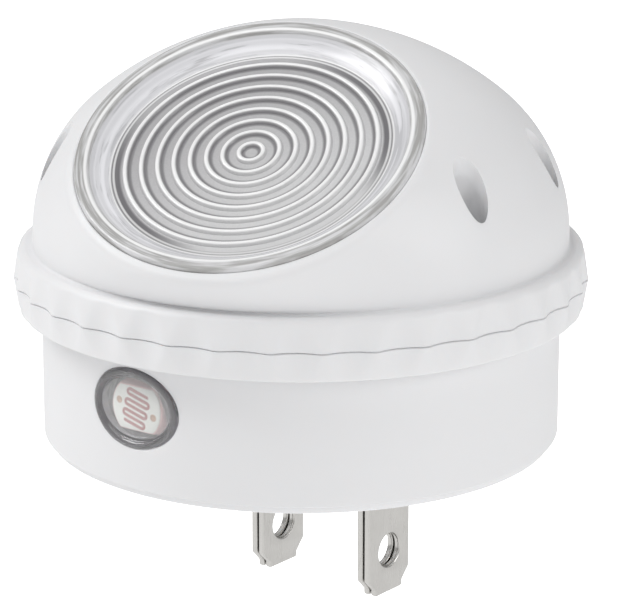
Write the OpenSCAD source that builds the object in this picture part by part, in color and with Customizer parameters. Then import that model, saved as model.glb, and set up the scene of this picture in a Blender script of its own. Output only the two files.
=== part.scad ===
// Plug-in night light: a lamp head that swivels on a round plug-in base with a dusk sensor.
// The origin is the centre of the plug face, and +Z runs out of the wall along the swivel axis.
// The dusk sensor faces -Y, and the two plug blades stand side by side along X.

/* [Base] */
// Outside diameter of the round base
base_d = 48; // [46.5:0.5:49.5]
// Height of the base, from the plug face to the top of its deck
base_h = 13.85; // [13.6:0.05:15]
// Wall of the base
base_wall = 1.8; // [1.5:0.1:2.1]
// Thickness of the deck that closes the base under the head
deck_t = 1.5; // [1.2:0.1:1.6]
// Thickness of the plug plate's edge, outside the base's rim
plate_edge_t = 0.7; // [0.5:0.1:1]
// Whole thickness of the plug plate, with the part that enters the base
plate_t = 2.4; // [2:0.1:2.6]
// Clearance between the plug plate and the inside of the base
plate_clearance = 0.1; // [0.05:0.05:0.2]

/* [Plug] */
// Distance between the middles of the two blades
blade_pitch = 12.7; // [12.4:0.1:13]
// Width of a blade
blade_w = 6.35; // [6:0.05:6.6]
// Thickness of a blade, folded from two leaves
blade_t = 1.5; // [1.3:0.1:1.6]
// Length of a blade outside the plug face
blade_l = 15.9; // [15:0.1:17.5]
// Diameter of the hole through a blade
blade_hole_d = 3.2; // [2.8:0.1:3.5]
// Distance from the plug face to the middle of that hole
blade_hole_at = 11.7; // [11:0.1:12]
// Distance of the blades from the swivel axis, away from the sensor
blade_offset = 4.5; // [4:0.1:5]
// Clearance round a blade in the plug plate and in the main board
blade_clearance = 0.1; // [0.05:0.05:0.2]

/* [Dusk sensor] */
// Width of the oval sensor window
window_w = 9.6; // [9:0.1:10]
// Height of the oval sensor window
window_h = 7.4; // [7:0.1:7.8]
// Height of the window's middle above the plug face
window_z = 8.2; // [8:0.1:8.4]
// How far the window stands out of the base
window_proud = 0.3; // [0.2:0.05:0.4]
// Clearance between the window and its opening
window_clearance = 0.05; // [0.03:0.01:0.1]
// Diameter of the photocell inside the window
cell_d = 5.5; // [5:0.1:5.8]
// Height of the photocell between its two flats
cell_flats = 4.1; // [3.8:0.1:4.4]

/* [Grip ring] */
// How far the fluted ring stands out beyond the base at its widest
ring_overhang = 2.54; // [2.2:0.02:2.8]
// How far the ring reaches down round the base
ring_skirt = 1; // [0.8:0.1:1.4]
// Height of the ring's upper half
ring_upper_h = 2.95; // [2.8:0.05:3.4]
// How far each half of the ring tapers from the parting line
ring_taper = 0.36; // [0.2:0.02:0.5]
// Radius of the ring's top shoulder
ring_round = 0.8; // [0.5:0.1:1]
// Number of finger flutes round the ring
flute_count = 36; // [30:1:40]
// Depth of a flute at the parting line
flute_depth = 0.5; // [0.3:0.05:0.6]
// Radius of the hollow of a flute
flute_r = 5; // [4:0.5:7]

/* [Head] */
// Thickness of the head's floor
floor_t = 1.4; // [1.2:0.1:1.6]
// Gap between the deck and the head's floor
running_gap = 0.2; // [0.15:0.05:0.3]
// Wall of the dome
dome_wall = 1.6; // [1.4:0.1:1.8]
// How far the dome's widest circle lies inside the ring's widest circle
dome_step = 1.81; // [1.7:0.02:2]
// Height of the dome's widest circle above the ring
dome_belly = 1.17; // [0.8:0.05:1.4]
// Radius of the dome's side, seen in section
dome_side_r = 16; // [15.5:0.1:16.5]
// Radius of the dome's top, seen in section
dome_top_r = 29.8; // [29:0.2:31]
// Turn of the head about the swivel axis in the resting pose
head_turn = 17; // [-90:1:90]

/* [Lens] */
// Outside diameter of the clear lens
lens_d = 31.6; // [31:0.1:32]
// Width of the lens's clear rim
rim_w = 1.4; // [1.2:0.1:1.5]
// Tilt of the lens from facing straight out of the wall
lens_tilt = 30.8; // [30:0.2:31.6]
// Distance of the middle of the lens rim from the swivel axis
lens_out = 13; // [12.8:0.1:13.2]
// Height of the middle of the lens rim above the dome's widest circle
lens_up = 11.2; // [11:0.1:11.4]
// Whole depth of the lens
lens_depth = 4; // [3.8:0.1:4.2]
// Depth of the lens plate below the rim
plate_recess = 1.5; // [1.3:0.1:1.7]
// Thickness of the lens plate
lens_plate_t = 1.2; // [1:0.1:1.3]
// Number of ring ridges on the lens plate
ridge_count = 7; // [5:1:7]
// Distance from one ridge to the next
ridge_pitch = 1.43; // [1.3:0.01:1.5]
// Height of a ridge
ridge_h = 0.45; // [0.3:0.05:0.6]
// Clearance between the lens and the dome
lens_clearance = 0.1; // [0.05:0.05:0.15]

/* [Swivel] */
// Diameter of the hub that the head turns on
hub_d = 13; // [12:0.5:13]
// Diameter of the wire passage through the hub
hub_bore_d = 6.4; // [5.6:0.2:6.4]
// Radial clearance between the hub and the head
hub_clearance = 0.05; // [0.03:0.01:0.08]
// Thickness of the friction washer
washer_t = 0.4; // [0.3:0.05:0.5]
// Thickness of the cap that holds the head on the hub
cap_t = 1; // [0.8:0.1:1.1]
// Width of the stop finger and of the stop post
stop_w = 2; // [1.8:0.1:2.4]

/* [Screws] */
// Diameter of the two-a-side screw pockets in the dome
pocket_d = 3.1; // [3:0.05:3.3]
// Distance of the pocket's axis inside the dome's widest circle
pocket_inset = 2.44; // [2.3:0.02:2.6]
// Angle from the lens to the front pocket on each side
pocket_front_a = 62.4; // [61:0.2:64]
// Angle from the lens to the rear pocket on each side
pocket_rear_a = 98.1; // [96:0.2:100]
// Clearance round the shank of every screw
screw_clearance = 0.05; // [0.03:0.01:0.1]

/* [Hidden] */
$fn = 96;
eps = 0.01;

// Base, from the plug face up
base_r = base_d / 2;
base_inner_r = base_r - base_wall;
deck_z = base_h - deck_t;
board_gap = 2.6;
board_t = 1.2;
board_z = plate_t + board_gap;
board_top = board_z + board_t;
board_room = deck_z - board_top;
board_r = base_inner_r - 5.7;
boss_r = 2.1;
boss_rho = base_inner_r - 1.9;
boss_angles = [60, 180, 300];
plate_screw_r = 0.9;
plate_head_r = 1.9;
plate_head_t = 1.2;
plate_screw_l = 6;
screw_recess = 0.1;
pillar_r = 1.8;
pillar_at = [[-11, -8], [11, -8], [0, 13]];
board_screw_r = 0.7;
board_head_r = 1.5;
board_head_t = 1;

// Blades
blade_shoulder_w = blade_w + 2;
blade_tail_w = 2.4;
blade_tail_l = 0.8;
blade_tip_l = 2.4;
blade_tip_w = blade_w - 2.6;
seam_w = 0.14;

// Dusk sensor, seated from inside the base
window_rim = 0.75;
window_flange = 0.8;
cell_t = 1.8;
cell_front_y = base_r - 0.6;
cell_back_y = cell_front_y - cell_t;
cell_lead_r = 0.25;
cell_lead_x = 1.4;
cell_lead_y = board_r - 1.2;

// Head, from the ring up
ring_r = base_r + ring_overhang;
skirt_r = base_r + 0.35;
ring_z = base_h - ring_skirt;
floor_z = base_h + running_gap;
parting_z = floor_z + floor_t;
ring_top = parting_z + ring_upper_h;
dome_r = ring_r - dome_step;
belly_z = ring_top + dome_belly;
dome_side_x = dome_r - dome_side_r;
dome_top_z = belly_z - sqrt(pow(dome_top_r - dome_side_r, 2) - pow(dome_side_x, 2));
dome_arc_a = atan2(belly_z - dome_top_z, dome_side_x);
dome_foot_a = -atan2(dome_belly + 0.8, dome_side_r);
dome_inner_r = dome_r - dome_wall;
ring_groove = 0.6;
lip_clearance = 0.1;
lip_t = 1.2;
lip_h = 1.2;
lip_r = dome_inner_r + 1.2;

// Screws through the dome into the head's floor
pocket_rho = dome_r - pocket_inset;
pocket_angles = [-pocket_rear_a, -pocket_front_a, pocket_front_a, pocket_rear_a];
tray_boss_r = 1.9;
tray_boss_h = 3.05;
socket_clearance = 0.1;
pocket_floor_t = 1.4;
pocket_z = parting_z + tray_boss_h + socket_clearance + pocket_floor_t;
dome_screw_r = 0.8;
dome_head_r = pocket_d / 2 - 0.1;
dome_head_t = 1.2;

// Lens and lamp, measured inward from the rim along the lens axis
lens_r = lens_d / 2;
lens_z = belly_z + lens_up;
collar_t = 1;
collar_drop = 0.45;
collar_round = 1;
collar_a = 28;
collar_l = 9;
chin_slope = 0.66;
chin_foot = 0.2;
ledge_w = 1;
ledge_t = 1.5;
ridge_first_r = 1.1;
ridge_w = 0.8;
step_w = 1.6;
reflector_t = 0.8;
reflector_r = lens_r - rim_w - step_w + 0.8;
reflector_top = plate_recess + lens_plate_t + 0.1;
led_plane = 10.3;
led_ring_r = 4.9;
led_board_t = 1;
led_board_w = 13;
led_post_x = lens_r + 0.4;
led_post_r = 1.7;
led_screw_r = 0.7;
led_head_r = 1.4;
led_head_t = 0.9;
led_wire_r = 0.6;
led_wire_x = 0.9;
led_wire_t = -5;

// Swivel
hub_r = hub_d / 2;
collar_r = hub_r + 2.5;
collar_z = parting_z + 0.95;
washer_z = collar_z + 0.05;
cap_z = washer_z + washer_t + 0.05;
finger_out = hub_r + 5.4;
post_in = hub_r + 3.7;
post_out = hub_r + 5.3;
cap_screw_r = 0.7;
cap_screw_rho = (hub_r + hub_bore_d / 2) / 2;

// A point on a circle, at an angle from +X
function on_circle(c, r, a) = [c[0] + r * cos(a), c[1] + r * sin(a)];
// Points along an arc
function arc(c, r, a0, a1, n) = [for (i = [0:n]) on_circle(c, r, a0 + (a1 - a0) * i / n)];

// Turns something that faces -Y by an angle towards +X
module facing(a) {
    rotate([0, 0, a]) children();
}

// Puts something built along +Z from the lens rim's middle into its place on the head
module on_lens_axis() {
    facing(head_turn)
        translate([0, -lens_out, lens_z])
            rotate([lens_tilt, 0, 0])
                children();
}

// A ring by its two radii
module tube(r_out, r_in, h) {
    difference() {
        cylinder(r = r_out, h = h);
        translate([0, 0, -eps]) cylinder(r = r_in, h = h + 2 * eps);
    }
}

// A screw with its head down at z = 0 and its shank up
module screw(head_r, head_t, shank_r, shank_l) {
    slot_w = head_r * 0.35;
    difference() {
        union() {
            cylinder(r = head_r, h = head_t);
            cylinder(r = shank_r, h = head_t + shank_l);
        }
        for (a = [0, 90])
            rotate([0, 0, a])
                translate([-head_r * 0.6, -slot_w / 2, -eps])
                    cube([head_r * 1.2, slot_w, head_t * 0.5]);
    }
}

module plug_plate() {
    spigot_r = base_inner_r - plate_clearance;
    color("whitesmoke") difference() {
        union() {
            cylinder(r1 = base_r - 0.55, r2 = base_r - 0.3, h = plate_edge_t);
            cylinder(r = spigot_r, h = plate_t);
            for (p = pillar_at)
                translate(p) cylinder(r = pillar_r, h = board_z);
        }
        for (side = [-1, 1])
            translate([side * blade_pitch / 2, blade_offset, plate_t / 2])
                cube([blade_t + 2 * blade_clearance, blade_w + 2 * blade_clearance, plate_t + 1],
                    center = true);
        for (a = boss_angles)
            facing(a) translate([0, -boss_rho, 0]) {
                translate([0, 0, -eps]) cylinder(r = plate_screw_r + 0.2, h = plate_t + 1);
                translate([0, 0, -eps]) cylinder(r = plate_head_r + 0.2, h = screw_recess + plate_head_t + eps);
            }
        for (p = pillar_at)
            translate([p[0], p[1], plate_t - 1.2])
                cylinder(r = board_screw_r + screw_clearance, h = board_gap + 2);
    }
}

// One blade, folded from two leaves, with its shoulder on the plug plate and its tail in the board
module blade(side) {
    outline = [
        [-blade_tip_w / 2, -blade_l],
        [blade_tip_w / 2, -blade_l],
        [blade_w / 2, -blade_l + blade_tip_l],
        [blade_w / 2, plate_t],
        [blade_shoulder_w / 2, plate_t],
        [blade_shoulder_w / 2, board_z],
        [blade_tail_w / 2, board_z],
        [blade_tail_w / 2, board_top + blade_tail_l],
        [-blade_tail_w / 2, board_top + blade_tail_l],
        [-blade_tail_w / 2, board_z],
        [-blade_shoulder_w / 2, board_z],
        [-blade_shoulder_w / 2, plate_t],
        [-blade_w / 2, plate_t],
        [-blade_w / 2, -blade_l + blade_tip_l]];
    color("lightgray")
        translate([side * blade_pitch / 2, blade_offset, 0])
            rotate([90, 0, 90])
                difference() {
                    translate([0, 0, -blade_t / 2]) linear_extrude(blade_t) polygon(outline);
                    translate([0, -blade_hole_at, -blade_t])
                        cylinder(d = blade_hole_d, h = 2 * blade_t);
                    for (edge = [-1, 1])
                        translate([edge * blade_w / 2 - seam_w, -blade_l + blade_tip_l, -seam_w / 2])
                            cube([2 * seam_w, blade_l - blade_tip_l, seam_w]);
                }
}

module blade_left() {
    blade(-1);
}

module blade_right() {
    blade(1);
}

// The oval of the sensor window, grown by an amount on every side
module window_oval(grow, depth) {
    half_w = window_w / 2 + grow;
    half_h = window_h / 2 + grow;
    translate([0, 0, window_z])
        rotate([90, 0, 0])
            linear_extrude(depth)
                polygon([for (i = [0:47]) [half_w * cos(i * 7.5), half_h * sin(i * 7.5)]]);
}

module base_shell() {
    color("white") difference() {
        union() {
            difference() {
                translate([0, 0, plate_edge_t])
                    cylinder(r = base_r, h = base_h - plate_edge_t);
                translate([0, 0, plate_edge_t - eps])
                    cylinder(r = base_inner_r, h = deck_z - plate_edge_t + eps);
            }
            for (a = boss_angles)
                facing(a) translate([0, -boss_rho, plate_t])
                    cylinder(r = boss_r, h = deck_z - plate_t + eps);
            translate([0, 0, deck_z]) cylinder(r = hub_r, h = cap_z - deck_z);
        }
        translate([0, 0, deck_z - eps])
            cylinder(d = hub_bore_d, h = cap_z - deck_z + 1);
        for (a = boss_angles)
            facing(a) translate([0, -boss_rho, plate_t - eps])
                cylinder(r = plate_screw_r + screw_clearance, h = plate_screw_l);
        for (a = [90, 270])
            facing(a) translate([0, -cap_screw_rho, deck_z + 1])
                cylinder(r = cap_screw_r + screw_clearance, h = cap_z - deck_z);
        intersection() {
            translate([0, -base_inner_r + 4, 0]) window_oval(window_clearance, base_wall + 8);
            cylinder(r = base_r + 1, h = base_h);
        }
    }
}

// Screws up through the plug face
module plate_screws() {
    color("silver")
        for (a = boss_angles)
            facing(a) translate([0, -boss_rho, screw_recess])
                screw(plate_head_r, plate_head_t, plate_screw_r, plate_screw_l);
}

module main_board() {
    color("darkgreen") difference() {
        translate([0, 0, board_z]) cylinder(r = board_r, h = board_t);
        for (side = [-1, 1])
            translate([side * blade_pitch / 2, blade_offset, board_z])
                cube([blade_t + 2 * blade_clearance, blade_tail_w + 2 * blade_clearance, 4],
                    center = true);
        for (p = pillar_at)
            translate([p[0], p[1], board_z - 1]) cylinder(r = board_screw_r + 0.15, h = board_t + 2);
    }
}

module board_screws() {
    color("silver")
        for (p = pillar_at)
            translate([p[0], p[1], board_top + board_head_t])
                rotate([180, 0, 0])
                    screw(board_head_r, board_head_t, board_screw_r, board_t + board_gap);
}

module film_capacitor() {
    l = board_r * 0.8;
    w = board_room * 0.8;
    h = board_room - 0.55;
    lip = w * 0.16;
    color("goldenrod")
        translate([-l / 2, -board_r * 0.6, board_top])
            difference() {
                cube([l, w, h]);
                translate([lip, lip, h - 0.75]) cube([l - 2 * lip, w - 2 * lip, 1]);
            }
}

module smoothing_capacitor() {
    r = board_room * 0.4;
    l = board_r * 0.66;
    lip = r * 0.16;
    color("darkslateblue")
        translate([-board_r * 0.685, -board_r * 0.24, board_top + r])
            rotate([-90, 0, 0])
                rotate_extrude()
                    polygon([[0, lip], [r - lip, lip], [r - lip, 0], [r, lip], [r, l - 7 * lip],
                        [r - lip * 0.75, l - 5.8 * lip], [r, l - 4.5 * lip], [r, l - lip],
                        [r - lip, l], [0, l]]);
}

module bridge_rectifier() {
    body = [4.7, 3.9, 2.4];
    pin = [0.7, 6, 0.25];
    stand = 0.2;
    color("dimgray") translate([board_r * 0.7, board_r * 0.315, board_top]) {
        translate([0, 0, stand + body[2] / 2]) cube(body, center = true);
        for (side = [-1, 1])
            translate([side * body[0] * 0.27, 0, pin[2] / 2]) cube(pin, center = true);
    }
}

// A resistor lying on the board along Y, with its leads bent down
module axial(r, l) {
    lead_r = r * 0.2;
    edge = r * 0.2;
    cap_l = l * 0.18;
    reach = l / 2 + 3.5 * lead_r;
    z = r + lead_r;
    translate([0, -l / 2, z])
        rotate([-90, 0, 0])
            rotate_extrude()
                polygon([[0, 0], [r - edge, 0], [r, edge], [r, cap_l], [r - edge, cap_l + edge],
                    [r - edge, l - cap_l - edge], [r, l - cap_l], [r, l - edge], [r - edge, l],
                    [0, l]]);
    translate([0, -reach, z]) rotate([-90, 0, 0]) cylinder(r = lead_r, h = 2 * reach);
    for (side = [-1, 1])
        translate([0, side * reach, 0]) {
            cylinder(r = lead_r, h = z);
            translate([0, 0, z]) sphere(r = lead_r);
        }
}

module fuse_resistor() {
    color("lightblue")
        translate([0, board_r * 0.54, board_top])
            rotate([0, 0, 90]) axial(board_room * 0.26, board_r * 0.42);
}

module resistors() {
    color("tan")
        for (x = [board_r * 0.575, board_r * 0.79])
            translate([x, -board_r * 0.097, board_top]) axial(board_room * 0.16, board_r * 0.3);
}

module transistor() {
    r = 2.3;
    stand = 1.1;
    h = board_room - stand - 0.45;
    pin = 0.4;
    color("black") translate([-board_r / 3, -board_r * 0.75, board_top]) {
        translate([0, 0, stand]) intersection() {
            cylinder(r = r, h = h);
            translate([-r, -r * 0.57, 0]) cube([2 * r, 2 * r, h]);
        }
        for (side = [-1, 0, 1])
            translate([side * r * 0.55 - pin / 2, -pin / 2, 0]) cube([pin, pin, stand + eps]);
    }
}

// The cell: a round disc with two flats, and its winding track in low relief on the face
module photocell() {
    r = cell_d / 2;
    track_w = 0.28;
    runs = 7;
    run_l = 2.3;
    pitch = 0.5;
    color("mistyrose")
        translate([0, -cell_front_y, window_z - 0.1])
            rotate([-90, 0, 0]) {
                intersection() {
                    cylinder(r = r, h = cell_t);
                    translate([-r, -cell_flats / 2, 0]) cube([2 * r, cell_flats, cell_t]);
                }
                translate([0, 0, -0.06]) {
                    for (i = [0:runs - 1])
                        translate([-run_l / 2, (i - (runs - 1) / 2) * pitch - track_w / 2, 0])
                            cube([run_l, track_w, 0.1]);
                    for (i = [0:runs - 2])
                        translate([(i % 2 == 0 ? 1 : -1) * (run_l - track_w) / 2,
                            (i - (runs - 2) / 2) * pitch, 0.05])
                            cube([track_w, pitch, 0.1], center = true);
                }
            }
}

module photocell_leads() {
    r = cell_lead_r;
    z = window_z - 0.1;
    color("silver")
        for (side = [-1, 1])
            translate([side * cell_lead_x, 0, 0]) {
                translate([0, -cell_back_y, z])
                    rotate([-90, 0, 0]) cylinder(r = r, h = cell_back_y - cell_lead_y);
                translate([0, -cell_lead_y, z]) sphere(r = r);
                translate([0, -cell_lead_y, board_top]) cylinder(r = r, h = z - board_top);
            }
}

// The clear oval window, with its rim proud of the base and its flange inside the wall
module sensor_window() {
    inner_y = base_inner_r - 1.5;
    color("lightcyan") difference() {
        union() {
            intersection() {
                translate([0, -inner_y, 0]) window_oval(0, base_wall + 4);
                cylinder(r = base_r + window_proud, h = base_h);
            }
            intersection() {
                translate([0, -inner_y, 0]) difference() {
                    window_oval(window_flange, 3);
                    translate([0, 1, 0]) window_oval(-window_rim, 5);
                }
                cylinder(r = base_inner_r - 0.02, h = deck_z - 0.1);
            }
        }
        // the shallow dish inside the rim
        difference() {
            translate([0, -inner_y, 0]) window_oval(-window_rim, base_wall + 5);
            cylinder(r = base_r - 0.05, h = base_h);
        }
        // the hollow that takes the cell
        intersection() {
            translate([0, -inner_y + 1, 0]) window_oval(-window_rim - 0.15, base_wall + 5);
            translate([-base_r, -cell_front_y - 0.15, 0]) cube([2 * base_r, base_r, base_h]);
        }
    }
}

// Screwed on the hub, with a finger that stops the head
module hub_cap() {
    color("gainsboro") difference() {
        union() {
            translate([0, 0, cap_z]) cylinder(r = collar_r, h = cap_t);
            translate([-stop_w / 2, 0, cap_z]) cube([stop_w, finger_out, cap_t]);
        }
        translate([0, 0, cap_z - 1]) cylinder(d = hub_bore_d, h = cap_t + 2);
        for (a = [90, 270])
            facing(a) translate([0, -cap_screw_rho, cap_z - 1])
                cylinder(r = cap_screw_r + 0.15, h = cap_t + 2);
    }
}

module hub_cap_screws() {
    color("silver")
        for (a = [90, 270])
            facing(a) translate([0, -cap_screw_rho, cap_z + cap_t + 0.6])
                rotate([180, 0, 0]) screw(1.3, 0.6, cap_screw_r, cap_t + 3);
}

module friction_washer() {
    color("orange") translate([0, 0, washer_z]) tube(collar_r - 0.2, hub_r + 0.15, washer_t);
}

// The outline of the fluted ring, seen along the swivel axis
module flutes() {
    difference() {
        circle(r = ring_r + 1);
        for (i = [0:flute_count - 1])
            rotate(i * 360 / flute_count)
                translate([ring_r + flute_r - flute_depth, 0]) circle(r = flute_r);
    }
}

module head_tray() {
    color("white") facing(head_turn) difference() {
        union() {
            intersection() {
                rotate_extrude() polygon([
                    [hub_r + hub_clearance, floor_z],
                    [skirt_r, floor_z],
                    [skirt_r, ring_z],
                    [ring_r - ring_taper - 0.2, ring_z],
                    [ring_r - ring_taper, ring_z + 0.2],
                    [ring_r, parting_z],
                    [hub_r + hub_clearance, parting_z]]);
                translate([0, 0, ring_z - 1]) linear_extrude(parting_z - ring_z + 2) flutes();
            }
            translate([0, 0, parting_z - eps])
                tube(collar_r, hub_r + hub_clearance, collar_z - parting_z + eps);
            // the lip that centres the dome, open where the screw posts stand
            difference() {
                translate([0, 0, parting_z - eps])
                    tube(lip_r - lip_clearance, lip_r - lip_clearance - lip_t, lip_h + eps);
                for (a = pocket_angles)
                    facing(a) translate([0, -pocket_rho, parting_z - 1])
                        cylinder(r = pocket_d / 2 + 1.3, h = lip_h + 2);
            }
            for (a = pocket_angles)
                facing(a) translate([0, -pocket_rho, parting_z - eps])
                    cylinder(r = tray_boss_r, h = tray_boss_h + eps);
            translate([-stop_w / 2, -post_out, parting_z - eps])
                cube([stop_w, post_out - post_in, cap_z + cap_t - parting_z]);
        }
        for (a = pocket_angles)
            facing(a) translate([0, -pocket_rho, floor_z + 0.5])
                cylinder(r = dome_screw_r + screw_clearance, h = tray_boss_h + 3);
    }
}

// Half the section of the dome, inside its two tangent arcs, down to a foot at foot_z.
// The side arc stops at foot_a and the wall runs straight down from there.
module dome_half(inset, foot_a, foot_z) {
    side = [dome_side_x, belly_z];
    top = [0, dome_top_z];
    side_end = on_circle(side, dome_side_r - inset, foot_a);
    polygon(concat(
        [[0, foot_z], [side_end[0], foot_z]],
        arc(side, dome_side_r - inset, foot_a, dome_arc_a, 12),
        [for (i = [1:10]) on_circle(top, dome_top_r - inset, dome_arc_a + (90 - dome_arc_a) * i / 10)]));
}

// The collar round the lens, with its rounded edge, and the chin that carries it down to the ring
module lens_collar() {
    foot = lens_r + lens_clearance + collar_t;
    intersection() {
        on_lens_axis() rotate_extrude() polygon(concat(
            [[0, -collar_drop]],
            arc([foot - collar_round, -collar_drop - collar_round], collar_round, 90, collar_a, 6),
            [[foot + collar_l * sin(collar_a), -collar_drop - collar_l * cos(collar_a)],
                [0, -collar_drop - collar_l * cos(collar_a)]]));
        translate([0, 0, ring_top - 1])
            cylinder(r1 = dome_r + chin_foot - chin_slope, r2 = dome_r + chin_foot + 12 * chin_slope, h = 13);
    }
}

// The outside of the dome, with its half of the ring and the lens collar
module dome_outside() {
    facing(head_turn) intersection() {
        rotate_extrude() polygon(concat(
            [[0, parting_z], [ring_r, parting_z]],
            arc([ring_r - ring_taper - ring_round, ring_top - ring_round + 0.1],
                ring_round, 0, 80, 5),
            [[dome_r - ring_groove, ring_top - ring_groove / 3], [0, ring_top - ring_groove / 3]]));
        translate([0, 0, parting_z - 1]) linear_extrude(ring_upper_h + 3) flutes();
    }
    rotate_extrude() dome_half(0, dome_foot_a, ring_top - 1);
    lens_collar();
}

// The room inside the dome, round its screw posts, the lens ledge and the lamp board's posts
module dome_room() {
    difference() {
        union() {
            rotate_extrude() dome_half(dome_wall, 0, parting_z - 1);
            translate([0, 0, parting_z - 1]) cylinder(r = lip_r, h = lip_h + 1.1);
            on_lens_axis() translate([0, 0, -6]) cylinder(r = lens_r + lens_clearance, h = 12);
        }
        on_lens_axis() {
            translate([0, 0, -lens_depth - ledge_t])
                tube(lens_r + 2, lens_r - ledge_w, ledge_t);
            for (side = [-1, 1])
                translate([side * led_post_x, 0, -led_plane])
                    cylinder(r = led_post_r, h = led_plane - lens_depth);
        }
        facing(head_turn) for (a = pocket_angles)
            facing(a) translate([0, -pocket_rho, parting_z])
                cylinder(r = pocket_d / 2 + 1, h = dome_top_r);
    }
}

module dome_shell() {
    color("white") difference() {
        dome_outside();
        dome_room();
        facing(head_turn) for (a = pocket_angles)
            facing(a) translate([0, -pocket_rho, 0]) {
                translate([0, 0, parting_z - 1])
                    cylinder(r = tray_boss_r + socket_clearance,
                        h = tray_boss_h + socket_clearance + 1);
                translate([0, 0, pocket_z]) cylinder(d = pocket_d, h = dome_top_r);
                translate([0, 0, parting_z]) cylinder(r = dome_screw_r + 0.3, h = dome_top_r);
            }
        on_lens_axis() for (side = [-1, 1])
            translate([side * led_post_x, 0, -led_plane - eps])
                cylinder(r = led_screw_r + screw_clearance, h = 4);
    }
}

module dome_screws() {
    color("silver") facing(head_turn)
        for (a = pocket_angles)
            facing(a) translate([0, -pocket_rho, pocket_z + dome_head_t])
                rotate([180, 0, 0]) screw(dome_head_r, dome_head_t, dome_screw_r, 5);
}

// A clear dish: rim, sloping step, and a plate with ring ridges
module lens() {
    in_r = lens_r - rim_w;
    plate_r = in_r - step_w;
    round_r = 0.35;
    color("aliceblue") on_lens_axis() difference() {
        union() {
            rotate_extrude() polygon(concat(
                [[0, -plate_recess], [plate_r, -plate_recess]],
                [[in_r, -0.5]],
                arc([in_r + round_r, -round_r], round_r, 180, 90, 3),
                arc([lens_r - round_r, -round_r], round_r, 90, 0, 3),
                [[lens_r, -lens_depth], [in_r, -lens_depth],
                    [in_r, -plate_recess - lens_plate_t], [0, -plate_recess - lens_plate_t]]));
            for (i = [0:ridge_count - 1])
                rotate_extrude() translate([ridge_first_r + i * ridge_pitch, -plate_recess])
                    polygon([[-ridge_w / 2, -eps], [ridge_w / 2, -eps], [ridge_w * 0.3, ridge_h * 0.7],
                        [0, ridge_h], [-ridge_w * 0.3, ridge_h * 0.7]]);
        }
    }
}

// A metallised bowl behind the lens, with its neck on the lamp board
module reflector() {
    neck = led_plane - reflector_top;
    mid_r = (reflector_r + led_ring_r) / 2 + 1.4;
    color("silver") on_lens_axis() rotate_extrude() polygon([
        [led_ring_r, -led_plane],
        [mid_r, -led_plane + neck * 0.42],
        [reflector_r - reflector_t, -reflector_top],
        [reflector_r + 0.5, -reflector_top],
        [reflector_r + 0.5, -reflector_top - 0.7],
        [reflector_r, -reflector_top - 0.7],
        [mid_r + reflector_t, -led_plane + neck * 0.42],
        [led_ring_r + reflector_t + 0.3, -led_plane]]);
}

module led_board() {
    half = led_post_x - led_post_r / 2;
    color("white") on_lens_axis() difference() {
        union() {
            translate([-half, -led_board_w / 2, -led_plane - led_board_t])
                cube([2 * half, led_board_w, led_board_t]);
            for (side = [-1, 1])
                translate([side * led_post_x, 0, -led_plane - led_board_t])
                    cylinder(r = led_post_r, h = led_board_t);
        }
        for (side = [-1, 1])
            translate([side * led_post_x, 0, -led_plane - 3])
                cylinder(r = led_screw_r + 0.15, h = 5);
    }
}

module leds() {
    color("gold") on_lens_axis()
        for (a = [90, 210, 330])
            rotate([0, 0, a]) translate([2.5, 0, -led_plane]) {
                translate([-1.4, -1.75, 0]) cube([2.8, 3.5, 0.6]);
                translate([0, 0, 0.6]) cylinder(r1 = 1.1, r2 = 0.9, h = 0.2);
            }
}

module led_board_screws() {
    color("silver") on_lens_axis()
        for (side = [-1, 1])
            translate([side * led_post_x, 0, -led_plane - led_board_t - led_head_t])
                screw(led_head_r, led_head_t, led_screw_r, 4);
}

// Two insulated wires from the main board, up through the hub, to the back of the lamp board
module led_leads() {
    back = led_plane + led_board_t;
    // where the wires leave the board, in the plane through the swivel axis and the lens axis
    start_out = lens_out - back * sin(lens_tilt) + led_wire_t * cos(lens_tilt);
    start_z = lens_z - back * cos(lens_tilt) - led_wire_t * sin(lens_tilt);
    bend_z = start_z - start_out / tan(lens_tilt);
    color("firebrick") facing(head_turn)
        for (side = [-1, 1])
            translate([side * led_wire_x, 0, 0]) {
                translate([0, 0, board_top]) cylinder(r = led_wire_r, h = bend_z - board_top);
                translate([0, 0, bend_z]) sphere(r = led_wire_r + eps);
                translate([0, 0, bend_z]) rotate([lens_tilt, 0, 0])
                    cylinder(r = led_wire_r, h = start_out / sin(lens_tilt));
            }
}

plug_plate();
blade_left();
blade_right();
base_shell();
plate_screws();
main_board();
board_screws();
film_capacitor();
smoothing_capacitor();
bridge_rectifier();
fuse_resistor();
resistors();
transistor();
photocell();
photocell_leads();
sensor_window();
hub_cap();
hub_cap_screws();
friction_washer();
head_tray();
dome_shell();
dome_screws();
lens();
reflector();
led_board();
leds();
led_board_screws();
led_leads();
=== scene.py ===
"""Plug-in night light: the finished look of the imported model.

The file is laid out as an add-on. Each operator makes one piece or one group of like pieces around the
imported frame, and main() calls them in order. Lengths are in metres, in the frame's own axes: the wall is
the plane z = 0, +Z runs out of it along the swivel axis, and the dusk sensor faces -Y.
"""

import math

import bmesh
import bpy
from mathutils import Matrix, Vector
from mathutils.bvhtree import BVHTree


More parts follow.
